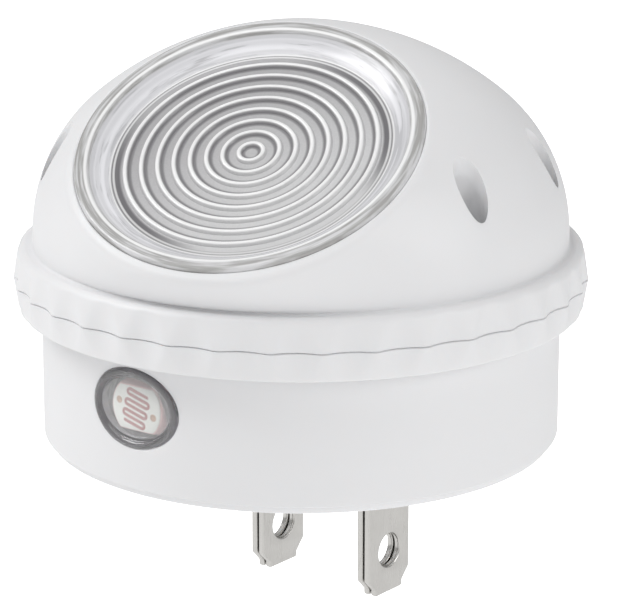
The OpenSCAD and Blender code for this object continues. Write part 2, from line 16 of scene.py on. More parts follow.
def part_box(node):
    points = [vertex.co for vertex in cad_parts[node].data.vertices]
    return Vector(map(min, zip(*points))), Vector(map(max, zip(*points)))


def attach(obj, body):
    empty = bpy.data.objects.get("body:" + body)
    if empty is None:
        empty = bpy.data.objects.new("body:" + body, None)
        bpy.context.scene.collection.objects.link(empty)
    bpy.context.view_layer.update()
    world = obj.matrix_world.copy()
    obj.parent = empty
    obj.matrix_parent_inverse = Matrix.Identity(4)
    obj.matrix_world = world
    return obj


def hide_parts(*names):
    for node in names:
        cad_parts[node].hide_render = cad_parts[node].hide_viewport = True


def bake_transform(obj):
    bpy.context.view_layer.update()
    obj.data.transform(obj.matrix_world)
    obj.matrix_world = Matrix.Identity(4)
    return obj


bl_info = {
    "name": "Night Light Finish",
    "version": (1, 0, 0),
    "blender": (4, 5, 0),
    "location": "View3D > Sidebar > Night Light",
    "description": "Builds the finished pieces of a plug-in night light around its packed frame",
    "category": "Object",
}

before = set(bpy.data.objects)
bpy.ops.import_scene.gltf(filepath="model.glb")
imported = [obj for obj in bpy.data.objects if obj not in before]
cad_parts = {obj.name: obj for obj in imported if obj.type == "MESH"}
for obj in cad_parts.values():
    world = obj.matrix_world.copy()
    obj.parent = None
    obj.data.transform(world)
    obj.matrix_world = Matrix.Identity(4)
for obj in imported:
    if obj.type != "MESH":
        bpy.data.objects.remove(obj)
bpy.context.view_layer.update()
MM = 0.001

# Driving lengths that the frame gives, in metres
BASE_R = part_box("base_shell")[1].x
RING_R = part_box("head_tray")[1].x
RING_LOW_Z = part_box("head_tray")[0].z
PARTING_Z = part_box("dome_shell")[0].z

# Grip ring, dome and collar, in millimetres
RING_COLUMNS = 432  # points round the ring
RING_RIM = 1.6  # only what lies this near the ring's outside is fluted
PARTING_HALF = 0.08  # half the height of the parting groove
PARTING_DEPTH = 0.18
RING_TAPER = 0.36  # how far the ring's top lies inside its parting line
RING_FOOT_TAPER = 0.42
SHOULDER_R = 0.85
FOOT_UP = 0.22  # how high the dome's foot starts over the ring's top
FOOT_ROUND = ((0.50, 0.075), (0.34, 0.055), (0.21, 0.06), (0.11, 0.09), (0.04, 0.14))  # out from it, and up
HULL_POINTS, HULL_R = 216, 24  # points on a circle of this radius
COLLAR_POINTS = 288
FAN_FROM = -14.0  # on the lens's axis, where the rays that find the dome's outside start
FAN_ROWS, FAN_CROWDING = 60, 1.7
INNER_SHARES = (0.86, 0.74, 0.62, 0.5, 0.38, 0.26, 0.15, 0.06)  # how far up the inside's rings lie
DOME_WALL = 1.6
DOME_BORE_R = 23.13  # inside of the dome at the ring
JOINT_R = 24.33  # inside of the lip that seats on the tray
JOINT_UP = 1.3
COLLAR_R = 16.9
COLLAR_ROUND = 1.0
COLLAR_DROP = 0.45  # how far the collar's lip lies below the lens rim
CHIN_FOOT, CHIN_SLOPE, CHIN_SOFT = 0.2, 0.66, 0.5  # cone below the collar: start, mm out per mm up, softness
LENS_GAP = 0.1
LEDGE_R, LEDGE_S = 14.8, -4.0  # the ledge that the lens lies on, with its height along the lens axis
LEDGE_LOW = -5.6
TRAY_LOW, TRAY_FLOOR = 14.05, 16.4  # the tray's underside, and the top of its floor round the hub
TRAY_HUB_R, TRAY_JOINT_R, TRAY_JOINT_UP, TRAY_BORE_R = 6.55, 24.23, 1.2, 23.03

# Screw pockets, in millimetres, at degrees from the lens's own line
POCKET_AT = (-98.1, -62.4, 62.4, 98.1)
POCKET_RHO = 22.29
POCKET_R = 1.55
POCKET_FLOOR = 20.0
POCKET_OPEN = 42.0  # where the cutter ends, clear of the dome
SLEEVE_POINTS = 64
SLEEVE_WALL, SLEEVE_GAP, SLEEVE_FLOOR = 0.9, 0.004, 1.4
SLEEVE_REACH = 24.2  # no sleeve goes further out
SLEEVE_UNDER = 1.1  # how far a sleeve's edge stays below the dome's outside
SLEEVE_RISE_R = 23.9  # inside this radius a sleeve follows the dome up

# Lens, in millimetres, from its axis and its rim's plane
LENS_RIM_W, LENS_SLOPE_W = 1.4, 1.6
LENS_RECESS, LENS_WALL = 1.5, 1.2
LENS_EDGE = 0.35
FIRST_RIDGE_R, RIDGE_HALF, RIDGE_HIGH = 1.1, 0.34, 0.32
BOWL_FOOT = -10.3  # where the reflector meets the lamp board

# Bands of painted highlight and painted shade on the lens, by radius in millimetres: middle, half width, half
# width at full strength
RING_HIGHLIGHT = (0.0, 0.24, 0.09)  # these two are measured from each ring
RING_SHADOW = (-0.38, 0.28, 0.05)
PLATE_SHADE_ARCS = (12.25, 0.55, 0.25)
PLATE_RIB_HIGHLIGHT = (12.45, 0.16, 0.04)
SLOPE_FOOT_SHADE = (13.0, 0.34, 0.12)
SLOPE_MIDDLE_SHADE = (13.78, 0.36, 0.04)
RIM_SHADOW = (14.20, 0.22, 0.04)
RIM_HIGHLIGHT = (14.72, 0.24, 0.06)
PLATE_TO_SLOPE = (12.70, 12.95)  # from and to
SLOPE_TO_RIM = (14.25, 14.45)
# which way the arcs of painted shade on the plate face
SHADE_ARCS_TURN = math.radians(35)
# how fast the painted light on the lens changes across it, per millimetre
PAINTED_LIGHT_PER_MM = 0.035
STREAK_ACROSS, STREAK_ALONG = 2.6, 2.2  # how fast the drawn streaks change outwards and along the circle

# Base, plug plate and blades, in millimetres
WINDOW_W, WINDOW_H, WINDOW_Z = 9.6, 7.4, 8.2
WINDOW_GAP = 0.05
WINDOW_INSIDE_Y = 23.55  # how far out the window's inner face lies
DECK_Z, DECK_WALL, HUB_TOP = 13.85, 1.5, 16.9
HUB_R, HUB_BORE_R = 6.5, 3.2
BASE_WALL_R, BASE_FOOT = 22.2, 0.7
PLATE_H = 2.4
BOSS_AT, BOSS_RHO = (60, 180, 300), 20.3
PILLARS = ((-11, -8), (11, -8), (0, 13))
BLADE_X, BLADE_Y = 6.35, 4.5
BLADE_HALF, BLADE_TIP, BLADE_EAR, BLADE_TAIL = 3.175, 2.1, 4.175, 1.2  # half widths
BLADE_THICK, BLADE_SEAM, BLADE_EDGE = 0.67, 0.16, 0.2  # of one leaf, between the two, and the edge's round
BLADE_HOLE_R, BLADE_HOLE_DOWN = 1.6, 11.7
SLOT_ROOM = 0.1  # round a blade in its slot

# Photocell, in millimetres
CELL_R, CELL_FLATS, CELL_THICK = 2.75, 4.1, 1.8
CELL_FRONT_Y, CELL_Z = -23.4, 8.1
TRACK_LEAN = math.radians(-15)
TRACK_RUNS, TRACK_PITCH, TRACK_HALF, TRACK_WIDTH = 7, 0.5, 1.0, 0.15

# Screws: head radius, head height, shank radius and length, in millimetres
PLATE_SCREW = (1.9, 1.2, 0.9, 6)
BOARD_SCREW = (1.5, 1.0, 0.7, 3.8)
CAP_SCREW = (1.3, 0.6, 0.7, 4)
DOME_SCREW = (1.45, 1.2, 0.8, 5)
LAMP_BOARD_SCREW = (1.4, 0.9, 0.7, 4)
CAP_SCREW_AT, CAP_SCREW_RHO = (90, 270), 4.85
LAMP_BOARD_SCREW_X, LAMP_BOARD_BACK = 16.2, -12.2
THREAD_PITCH = 0.55

# Lamp wires and lamps, in millimetres
WIRE_APART, WIRE_R = 0.9, 0.6  # from the axis to each wire's middle
WIRE_START, WIRE_BACK, WIRE_SIDE, WIRE_BEND = 6.2, 11.3, 5, 2.2
LAMP_AT, LAMP_RHO = (90, 210, 330), 2.5

# Stage: area lights by name, place, width and height in metres, and power in watts
LIGHTS = (
    ("key", (-0.42, -0.30, 0.50), 0.30, 0.30, 1.75),
    ("fill", (0.62, 0.10, 0.22), 0.25, 0.35, 0.95),
    ("front", (0.30, -0.50, 0.22), 0.30, 0.30, 0.24),
    ("top", (-0.05, -0.22, 0.60), 0.35, 0.35, 0.85),
)
LIGHT_AIM = (0, 0, 0.02)
SENSOR_WIDTH, FOCAL_LENGTH, SHIFT_X = 36.0, 202.4, 0.013  # the first two in millimetres
SURROUND = 0.47  # strength of the white surround as light
BACKDROP = 1.02  # and as the camera sees it
FLOOR_COLOUR = (0.92, 0.92, 0.92)
FLOOR_REACH, FLOOR_GLOW, FLOOR_WHITE = 1.5, 0.22, 1.1


def metres(name, text, default, low=0.0):
    """A length property in metres."""
    return bpy.props.FloatProperty(
        name=name, description=text, default=default, min=low, unit="LENGTH", precision=5
    )


def angle(name, text, degrees):
    """An angle property, its default given in degrees."""
    return bpy.props.FloatProperty(
        name=name, description=text, default=math.radians(degrees), subtype="ANGLE"
    )


def tint(name, text, default):
    """A colour property."""
    return bpy.props.FloatVectorProperty(
        name=name, description=text, default=default, size=3, subtype="COLOR", min=0.0, max=1.0
    )


class NightLightSizes(bpy.types.PropertyGroup):
    """Sizes of the dome, the grip ring and the lens."""

    head_turn: angle("Head turn", "Turn of the head from the sensor", 17)
    lens_tilt: angle("Lens tilt", "Tilt of the lens from the swivel axis", 30.8)
    lens_out: metres("Lens out", "Distance of the lens rim's middle from the swivel axis", 13.0 * MM)
    lens_z: metres("Lens height", "Height of the lens rim's middle above the wall", 30.77 * MM)
    lens_r: metres("Lens radius", "Outside radius of the clear lens", 15.8 * MM)
    lens_depth: metres("Lens depth", "Whole depth of the lens", 4.0 * MM)
    ridge_pitch: metres("Ridge pitch", "Distance from one lens ridge to the next", 1.47 * MM)
    ridge_count: bpy.props.IntProperty(
        name="Ridges",
        description="Number of rings on the lens plate, with the one at its edge",
        default=8,
        min=1,
        max=8,
    )
    flute_count: bpy.props.IntProperty(
        name="Flutes", description="Number of finger flutes round the grip ring", default=36, min=12
    )
    flute_depth: metres("Flute depth", "Depth of a flute at the parting line", 0.5 * MM)
    flute_r: metres("Flute radius", "Radius of the hollow of a flute", 5.0 * MM)
    dome_side_r: metres("Side arc", "Radius of the dome's side in section", 16.0 * MM)
    dome_top_r: metres("Top arc", "Radius of the dome's top in section", 29.8 * MM)
    dome_step: metres("Dome step", "How far the dome lies inside the ring", 1.81 * MM)
    ring_upper_h: metres("Upper ring height", "Height of the ring above its parting line", 2.95 * MM)
    belly: metres("Belly height", "Height of the dome's widest circle above the ring", 1.17 * MM)


class NightLightFinishes(bpy.types.PropertyGroup):
    """Colours of the finishes."""

    shell_white: tint("Shell white", "Satin white of the mouldings", (0.80, 0.80, 0.81))
    blade_metal: tint("Blade metal", "Nickel plating of the blades", (0.56, 0.55, 0.53))
    bowl_silver: tint("Bowl silver", "Metallised coat of the reflector", (0.70, 0.70, 0.71))
    cell_face: tint("Cell face", "Coated face of the photocell", (0.93, 0.95, 0.90))
    cell_track: tint("Cell track", "Winding track on the photocell", (0.42, 0.13, 0.12))


class NightLightStage(bpy.types.PropertyGroup):
    """Camera, lights and floor."""

    camera_distance: metres("Camera distance", "Distance of the camera from the swivel axis", 309.5 * MM)
    camera_height: metres("Camera height", "Height of the camera above the plug face", 102.8 * MM)
    camera_azimuth: angle("Camera azimuth", "Turn of the camera from the sensor", 38)
    camera_pitch: angle("Camera pitch", "How far the camera looks down", 16.24)
    floor_drop: metres("Floor drop", "How far the floor lies below the blade tips", 60.0 * MM)


def sizes():
    """The size settings."""
    return bpy.context.scene.night_light_sizes


def finishes():
    """The colour settings."""
    return bpy.context.scene.night_light_finishes


def stage_settings():
    """The stage settings."""
    return bpy.context.scene.night_light_stage


# ---------------------------------------------------------------- shader groups


class NodeSheet:
    """A node tree that is filled from left to right."""

    def __init__(self, tree):
        self.tree = tree
        self.column = 0

    def add(self, kind, inputs=(), **settings):
        """Adds a node. Each input is a name or number with a value or an output socket."""
        node = self.tree.nodes.new(kind)
        node.location = (self.column * 190, -60 * (self.column % 4))
        self.column += 1
        for key, value in settings.items():
            setattr(node, key, value)
        for key, value in dict(inputs).items():
            if isinstance(value, bpy.types.NodeSocket):
                self.tree.links.new(value, node.inputs[key])
            else:
                node.inputs[key].default_value = value
        return node

    def math(self, operation, *values):
        """Adds a math node and gives its result."""
        node = self.add("ShaderNodeMath", operation=operation)
        for index, value in enumerate(values):
            if isinstance(value, bpy.types.NodeSocket):
                self.tree.links.new(value, node.inputs[index])
            else:
                node.inputs[index].default_value = value
        return node.outputs[0]

    def link(self, source, target):
        """Links an output socket to an input socket."""
        self.tree.links.new(source, target)


def new_group(name, inputs, outputs):
    """A shader group with named sockets: (name, kind, default) in and (name, kind) out."""
    tree = bpy.data.node_groups.new(name, "ShaderNodeTree")
    for label, kind, default in inputs:
        socket = tree.interface.new_socket(name=label, in_out="INPUT", socket_type=kind)
        socket.default_value = default
    for label, kind in outputs:
        tree.interface.new_socket(name=label, in_out="OUTPUT", socket_type=kind)
    sheet = NodeSheet(tree)
    return sheet, sheet.add("NodeGroupInput"), sheet.add("NodeGroupOutput")


FLOAT, COLOUR = "NodeSocketFloat", "NodeSocketColor"


def noise(sheet, coordinates, scale, detail=2.0, roughness=0.5):
    """The value of a noise texture."""
    inputs = {"Vector": coordinates, "Scale": scale, "Detail": detail, "Roughness": roughness}
    return sheet.add("ShaderNodeTexNoise", inputs).outputs["Fac"]


def centred(sheet, value, middle, span):
    """How far a value lies from its middle, times a span."""
    return sheet.math("MULTIPLY", sheet.math("SUBTRACT", value, middle), span)


def object_place(sheet):
    """The point in the piece's own frame, which is the model's."""
    return sheet.add("ShaderNodeTexCoord").outputs["Object"]


def radius(sheet, x, y):
    """The distance of (x, y) from the axis."""
    return sheet.math("SQRT", sheet.math("ADD", sheet.math("MULTIPLY", x, x), sheet.math("MULTIPLY", y, y)))


def ramp(sheet, value, low, high):
    """A smooth 0 to 1 while a value goes from low to high."""
    inputs = {"Value": value, "From Min": low, "From Max": high}
    return sheet.add("ShaderNodeMapRange", inputs, interpolation_type="SMOOTHSTEP").outputs["Result"]


def band(sheet, value, middle, half, core):
    """1 while a value is within core of the middle, and 0 when it is more than half away."""
    return ramp(sheet, sheet.math("ABSOLUTE", sheet.math("SUBTRACT", value, middle)), half, core)


def blend_colour(sheet, share, first, second):
    """Mixes two colours by a share of 0 to 1."""
    node = sheet.add("ShaderNodeMix", data_type="RGBA")
    for index, value in ((0, share), (6, first), (7, second)):
        if isinstance(value, bpy.types.NodeSocket):
            sheet.link(value, node.inputs[index])
        else:
            node.inputs[index].default_value = value
    return node.outputs[2]


FINISH_OUTPUTS = [("Colour", COLOUR), ("Roughness", FLOAT), ("Height", FLOAT)]


def moulded_group():
    """Moulded plastic: a slow change of tone, a fine spark-eroded grain and a little handling gloss."""
    sheet, given, out = new_group(
        "Moulded Grain",
        [
            ("Colour", COLOUR, (0.8, 0.8, 0.8, 1)),
            ("Tone", FLOAT, 0.03),
            ("Roughness", FLOAT, 0.4),
            ("Grain", FLOAT, 5200.0),
        ],
        FINISH_OUTPUTS,
    )
    place = object_place(sheet)
    slow = noise(sheet, place, 45.0, 3.0)
    grain = noise(sheet, place, given.outputs["Grain"], 2.0, 0.6)
    flow = noise(sheet, place, 260.0)
    value = sheet.math("ADD", centred(sheet, slow, 0.5, given.outputs["Tone"]), 1.0)
    shade = sheet.add("ShaderNodeHueSaturation", {"Value": value, "Color": given.outputs["Colour"]})
    gloss = centred(sheet, flow, 0.5, 0.16)
    height = sheet.math("ADD", sheet.math("MULTIPLY", grain, 0.7), sheet.math("MULTIPLY", flow, 0.3))
    sheet.link(shade.outputs["Color"], out.inputs["Colour"])
    sheet.link(sheet.math("ADD", given.outputs["Roughness"], gloss), out.inputs["Roughness"])
    sheet.link(height, out.inputs["Height"])
    return sheet.tree


def drawn_metal_group():
    """Stamped or drawn metal: long fine lines along one axis, faint scratches and a change of tone."""
    sheet, given, out = new_group(
        "Drawn Metal",
        [
            ("Colour", COLOUR, (0.6, 0.6, 0.6, 1)),
            ("Roughness", FLOAT, 0.25),
            ("Lines", FLOAT, 9000.0),
            ("Spots", FLOAT, 0.12),
        ],
        FINISH_OUTPUTS,
    )
    place = object_place(sheet)
    along = sheet.add("ShaderNodeMapping", {"Vector": place, "Scale": (1.0, 1.0, 0.035)}).outputs["Vector"]
    lines = noise(sheet, along, given.outputs["Lines"], 3.0, 0.6)
    blotch = noise(sheet, place, 420.0, 4.0, 0.6)
    cells = sheet.add("ShaderNodeTexVoronoi", {"Vector": along, "Scale": 2600.0}, feature="DISTANCE_TO_EDGE")
    scratch = sheet.math("LESS_THAN", cells.outputs["Distance"], 0.018)
    tone = sheet.math("ADD", centred(sheet, blotch, 0.5, given.outputs["Spots"]), 1.0)
    value = sheet.math("ADD", tone, centred(sheet, lines, 0.5, 0.10))
    shade = sheet.add("ShaderNodeHueSaturation", {"Value": value, "Color": given.outputs["Colour"]})
    rough = sheet.math("ADD", given.outputs["Roughness"], centred(sheet, lines, 0.45, 0.20))
    rough = sheet.math("ADD", rough, sheet.math("MULTIPLY", scratch, 0.15))
    sheet.link(shade.outputs["Color"], out.inputs["Colour"])
    sheet.link(rough, out.inputs["Roughness"])
    sheet.link(sheet.math("SUBTRACT", lines, sheet.math("MULTIPLY", scratch, 0.4)), out.inputs["Height"])
    return sheet.tree


def lens_plate_colour(sheet, given, x, y, r, speckle):
    """The plate: a grey lightened across it by painted light, a painted highlight and a painted shadow at
    each ring, arcs of painted shade and a painted highlight on a rib.
    """
    pitch = given.outputs["Pitch"]
    phase = sheet.math("DIVIDE", sheet.math("SUBTRACT", r, given.outputs["First Ring"]), pitch)
    off = sheet.math("SUBTRACT", sheet.math("FRACT", sheet.math("ADD", phase, 0.5)), 0.5)
    past_ring = sheet.math("MULTIPLY", off, pitch)
    # painted light and shade: the plate is lighter towards one side and darker towards the other, with random
    # speckle
    painted_light_slant = sheet.math("ADD", centred(sheet, x, y, PAINTED_LIGHT_PER_MM), 0.5)
    tone = sheet.math("ADD", ramp(sheet, painted_light_slant, 0.0, 1.0), centred(sheet, speckle, 0.5, 0.5))
    tone = sheet.math("MINIMUM", sheet.math("MAXIMUM", tone, 0.0), 1.0)
    plate = blend_colour(sheet, tone, given.outputs["Plate Dark"], given.outputs["Plate Light"])
    # painted shadow beside each ring, and a painted highlight along each ring's crest
    shadow = sheet.math("MULTIPLY", band(sheet, past_ring, *RING_SHADOW), 0.8)
    plate = blend_colour(sheet, shadow, plate, given.outputs["Shade"])
    plate = blend_colour(sheet, band(sheet, past_ring, *RING_HIGHLIGHT), plate, given.outputs["Ring"])
    # painted shade in two arcs on the plate, facing one way across it
    turn = sheet.math("ARCTAN2", y, x)
    facing = sheet.math("ABSOLUTE", sheet.math("COSINE", sheet.math("SUBTRACT", turn, SHADE_ARCS_TURN)))
    shade_arcs = sheet.math("MULTIPLY", band(sheet, r, *PLATE_SHADE_ARCS), ramp(sheet, facing, 0.55, 0.95))
    plate = blend_colour(sheet, shade_arcs, plate, given.outputs["Shade"])
    # a painted highlight on a thin rib near the plate's edge
    rib_highlight = sheet.math("MULTIPLY", band(sheet, r, *PLATE_RIB_HIGHLIGHT), 0.7)
    return blend_colour(sheet, rib_highlight, plate, given.outputs["Ring"]), painted_light_slant, turn


def lens_streaks(sheet, r, turn):
    """Streaks that are drawn out along the circle."""
    inputs = {
        "X": sheet.math("MULTIPLY", r, STREAK_ACROSS),
        "Y": sheet.math("MULTIPLY", sheet.math("COSINE", turn), STREAK_ALONG),
        "Z": sheet.math("MULTIPLY", sheet.math("SINE", turn), STREAK_ALONG),
    }
    return noise(sheet, sheet.add("ShaderNodeCombineXYZ", inputs).outputs[0], 1.0, 3.0, 0.6)


def lens_slope_colour(sheet, given, r, painted_light_slant, drawn):
    """The slope: pale, with painted shade on its near side, streaks and two soft bands of painted shade."""
    # painted shade: a band at the foot of the slope and a fainter one in its middle
    foot = sheet.math("MULTIPLY", band(sheet, r, *SLOPE_FOOT_SHADE), 0.5)
    shade_bands = sheet.math("ADD", foot, sheet.math("MULTIPLY", band(sheet, r, *SLOPE_MIDDLE_SHADE), 0.28))
    # painted shade: the slope darker on the near side
    near_side_shade = sheet.math("MULTIPLY", ramp(sheet, painted_light_slant, 0.55, 0.95), 0.40)
    streaks_and_shade = sheet.math("ADD", near_side_shade, ramp(sheet, drawn, 0.50, 0.72))
    streaks_and_shade = sheet.math("MINIMUM", sheet.math("ADD", streaks_and_shade, shade_bands), 0.85)
    return blend_colour(sheet, streaks_and_shade, given.outputs["Slope"], given.outputs["Slope Shade"])


def lens_zone_group():
    """The lens by its distance from the axis: grey plate with painted light across it and painted highlights
    and shadows at its rings, pale slope with painted shade, streaked rim with a painted shadow and a painted
    highlight.
    """
    sheet, given, out = new_group(
        "Lens Zones",
        [
            ("Plate Dark", COLOUR, (0.44, 0.435, 0.445, 1)),
            ("Plate Light", COLOUR, (0.66, 0.66, 0.665, 1)),
            # the white of the painted highlights
            ("Ring", COLOUR, (0.97, 0.97, 0.97, 1)),
            ("Shade", COLOUR, (0.17, 0.165, 0.175, 1)),
            ("Slope", COLOUR, (0.90, 0.90, 0.93, 1)),
            ("Slope Shade", COLOUR, (0.50, 0.50, 0.52, 1)),
            ("Rim", COLOUR, (0.40, 0.395, 0.385, 1)),
            ("Rim Light", COLOUR, (0.72, 0.72, 0.73, 1)),
            ("Rim Shadow", COLOUR, (0.50, 0.50, 0.52, 1)),
            ("Rim Line", COLOUR, (0.99, 0.99, 0.99, 1)),
            ("Pitch", FLOAT, sizes().ridge_pitch / MM),
            ("First Ring", FLOAT, FIRST_RIDGE_R),
        ],
        FINISH_OUTPUTS,
    )
    place = object_place(sheet)
    back = lens_place().inverted()
    turned = {"Vector": place, "Rotation": tuple(back.to_euler()), "Location": tuple(back.translation)}
    own = sheet.add("ShaderNodeMapping", turned).outputs["Vector"]
    split = sheet.add("ShaderNodeSeparateXYZ", {"Vector": own})
    x, y = sheet.math("DIVIDE", split.outputs[0], MM), sheet.math("DIVIDE", split.outputs[1], MM)
    r = radius(sheet, x, y)
    speckle = noise(sheet, place, 5200.0, 2.0, 0.6)
    flow = noise(sheet, place, 420.0, 3.0)
    plate, painted_light_slant, turn = lens_plate_colour(sheet, given, x, y, r, speckle)
    drawn = lens_streaks(sheet, r, turn)
    slope = lens_slope_colour(sheet, given, r, painted_light_slant, drawn)
    streaked = ramp(sheet, drawn, 0.40, 0.62)
    rim = blend_colour(sheet, streaked, given.outputs["Rim"], given.outputs["Rim Light"])
    off_plate = ramp(sheet, r, *PLATE_TO_SLOPE)
    whole = blend_colour(sheet, off_plate, plate, slope)
    whole = blend_colour(sheet, ramp(sheet, r, *SLOPE_TO_RIM), whole, rim)
    # painted shadow at the foot of the rim, and a painted highlight on its rounded inner edge
    shadow = sheet.math("MULTIPLY", band(sheet, r, *RIM_SHADOW), 0.45)
    whole = blend_colour(sheet, shadow, whole, given.outputs["Rim Shadow"])
    whole = blend_colour(sheet, band(sheet, r, *RIM_HIGHLIGHT), whole, given.outputs["Rim Line"])
    sheet.link(whole, out.inputs["Colour"])
    sheet.link(sheet.math("SUBTRACT", 0.30, sheet.math("MULTIPLY", off_plate, 0.05)), out.inputs["Roughness"])
    sheet.link(sheet.math("ADD", speckle, flow), out.inputs["Height"])
    return sheet.tree


def window_zone_group():
    """The sensor window: clear over the cell, a slightly rougher rim and a grey outline."""
    sheet, given, out = new_group(
        "Window Zones",
        [
            ("Clear", COLOUR, (0.98, 0.98, 0.985, 1)),
            ("Rim", COLOUR, (0.97, 0.96, 0.99, 1)),
            ("Outline", COLOUR, (0.62, 0.60, 0.65, 1)),
        ],
        FINISH_OUTPUTS,
    )
    place = object_place(sheet)
    split = sheet.add("ShaderNodeSeparateXYZ", {"Vector": place})
    x = sheet.math("DIVIDE", split.outputs[0], WINDOW_W / 2 * MM)
    z = sheet.math("DIVIDE", sheet.math("SUBTRACT", split.outputs[2], WINDOW_Z * MM), WINDOW_H / 2 * MM)
    reach = radius(sheet, x, z)
    rim = ramp(sheet, reach, 0.74, 0.86)
    pale = blend_colour(sheet, rim, given.outputs["Clear"], given.outputs["Rim"])
    outline = sheet.math("MULTIPLY", ramp(sheet, reach, 0.955, 0.985), 0.8)
    sheet.link(blend_colour(sheet, outline, pale, given.outputs["Outline"]), out.inputs["Colour"])
    sheet.link(sheet.math("ADD", 0.02, sheet.math("MULTIPLY", rim, 0.05)), out.inputs["Roughness"])
    sheet.link(noise(sheet, place, 900.0), out.inputs["Height"])
    return sheet.tree


SHARED = {}


def shared(build):
    """The node tree that a function builds, built once."""
    if build not in SHARED:
        SHARED[build] = build()
    return SHARED[build]


def surface(name, group, inputs, bump, depth=0.00002, **plain):
    """A material whose varying values come from a shared group and whose plain ones sit on the shader."""
    material = bpy.data.materials.new(name)
    material.use_nodes = True
    tree = material.node_tree
    tree.nodes.clear()
    sheet = NodeSheet(tree)
    source = sheet.add("ShaderNodeGroup", node_tree=group)
    for label, value in inputs.items():
        source.inputs[label].default_value = value
    shader = sheet.add("ShaderNodeBsdfPrincipled")
    for label, value in plain.items():
        shader.inputs[label.replace("_", " ")].default_value = value
    bumps = {"Strength": bump, "Distance": depth, "Height": source.outputs["Height"]}
    relief = sheet.add("ShaderNodeBump", bumps)
    sheet.link(source.outputs["Colour"], shader.inputs["Base Color"])
    sheet.link(source.outputs["Roughness"], shader.inputs["Roughness"])
    sheet.link(relief.outputs["Normal"], shader.inputs["Normal"])
    end = sheet.add("ShaderNodeOutputMaterial")
    sheet.link(shader.outputs["BSDF"], end.inputs["Surface"])
    return material


def rgba(colour):
    """A colour with full alpha."""
    return (colour[0], colour[1], colour[2], 1.0)


def moulded(name, colour, roughness, tone, grain, bump, **plain):
    """Moulded plastic of one colour."""
    values = {"Colour": rgba(colour), "Tone": tone, "Roughness": roughness, "Grain": grain}
    return surface(name, shared(moulded_group), values, bump, **plain)


def metal(name, colour, roughness, lines, spots, bump):
    """Drawn or plated metal."""
    values = {"Colour": rgba(colour), "Roughness": roughness, "Lines": lines, "Spots": spots}
    return surface(name, shared(drawn_metal_group), values, bump, depth=0.000008, Metallic=1.0)


def zoned_clear(name, build, clearness):
    """Clear moulded plastic in zones of a shared group. Light for what lies behind goes straight through."""
    gloss = {"IOR": 1.49, "Coat_Weight": 0.35, "Coat_Roughness": 0.16}
    material = surface(name, shared(build), {}, 0.12, Transmission_Weight=clearness, **gloss)
    tree = material.node_tree
    shader = next(node for node in tree.nodes if node.type == "BSDF_PRINCIPLED")
    end = next(node for node in tree.nodes if node.type == "OUTPUT_MATERIAL")
    sheet = NodeSheet(tree)
    sheet.column = len(tree.nodes)
    ray = sheet.add("ShaderNodeLightPath")
    passing = sheet.add("ShaderNodeBsdfTransparent", {"Color": (1.0, 1.0, 1.0, 1.0)})
    mixed = sheet.add("ShaderNodeMixShader")
    sheet.link(ray.outputs["Is Shadow Ray"], mixed.inputs[0])
    sheet.link(shader.outputs["BSDF"], mixed.inputs[1])
    sheet.link(passing.outputs["BSDF"], mixed.inputs[2])
    sheet.link(mixed.outputs[0], end.inputs["Surface"])
    return material


MATERIALS = {}


def finish_named(name):
    """A finish of the night light, made on first use."""
    if name not in MATERIALS:
        MATERIALS[name] = MAKERS[name]()
    return MATERIALS[name]


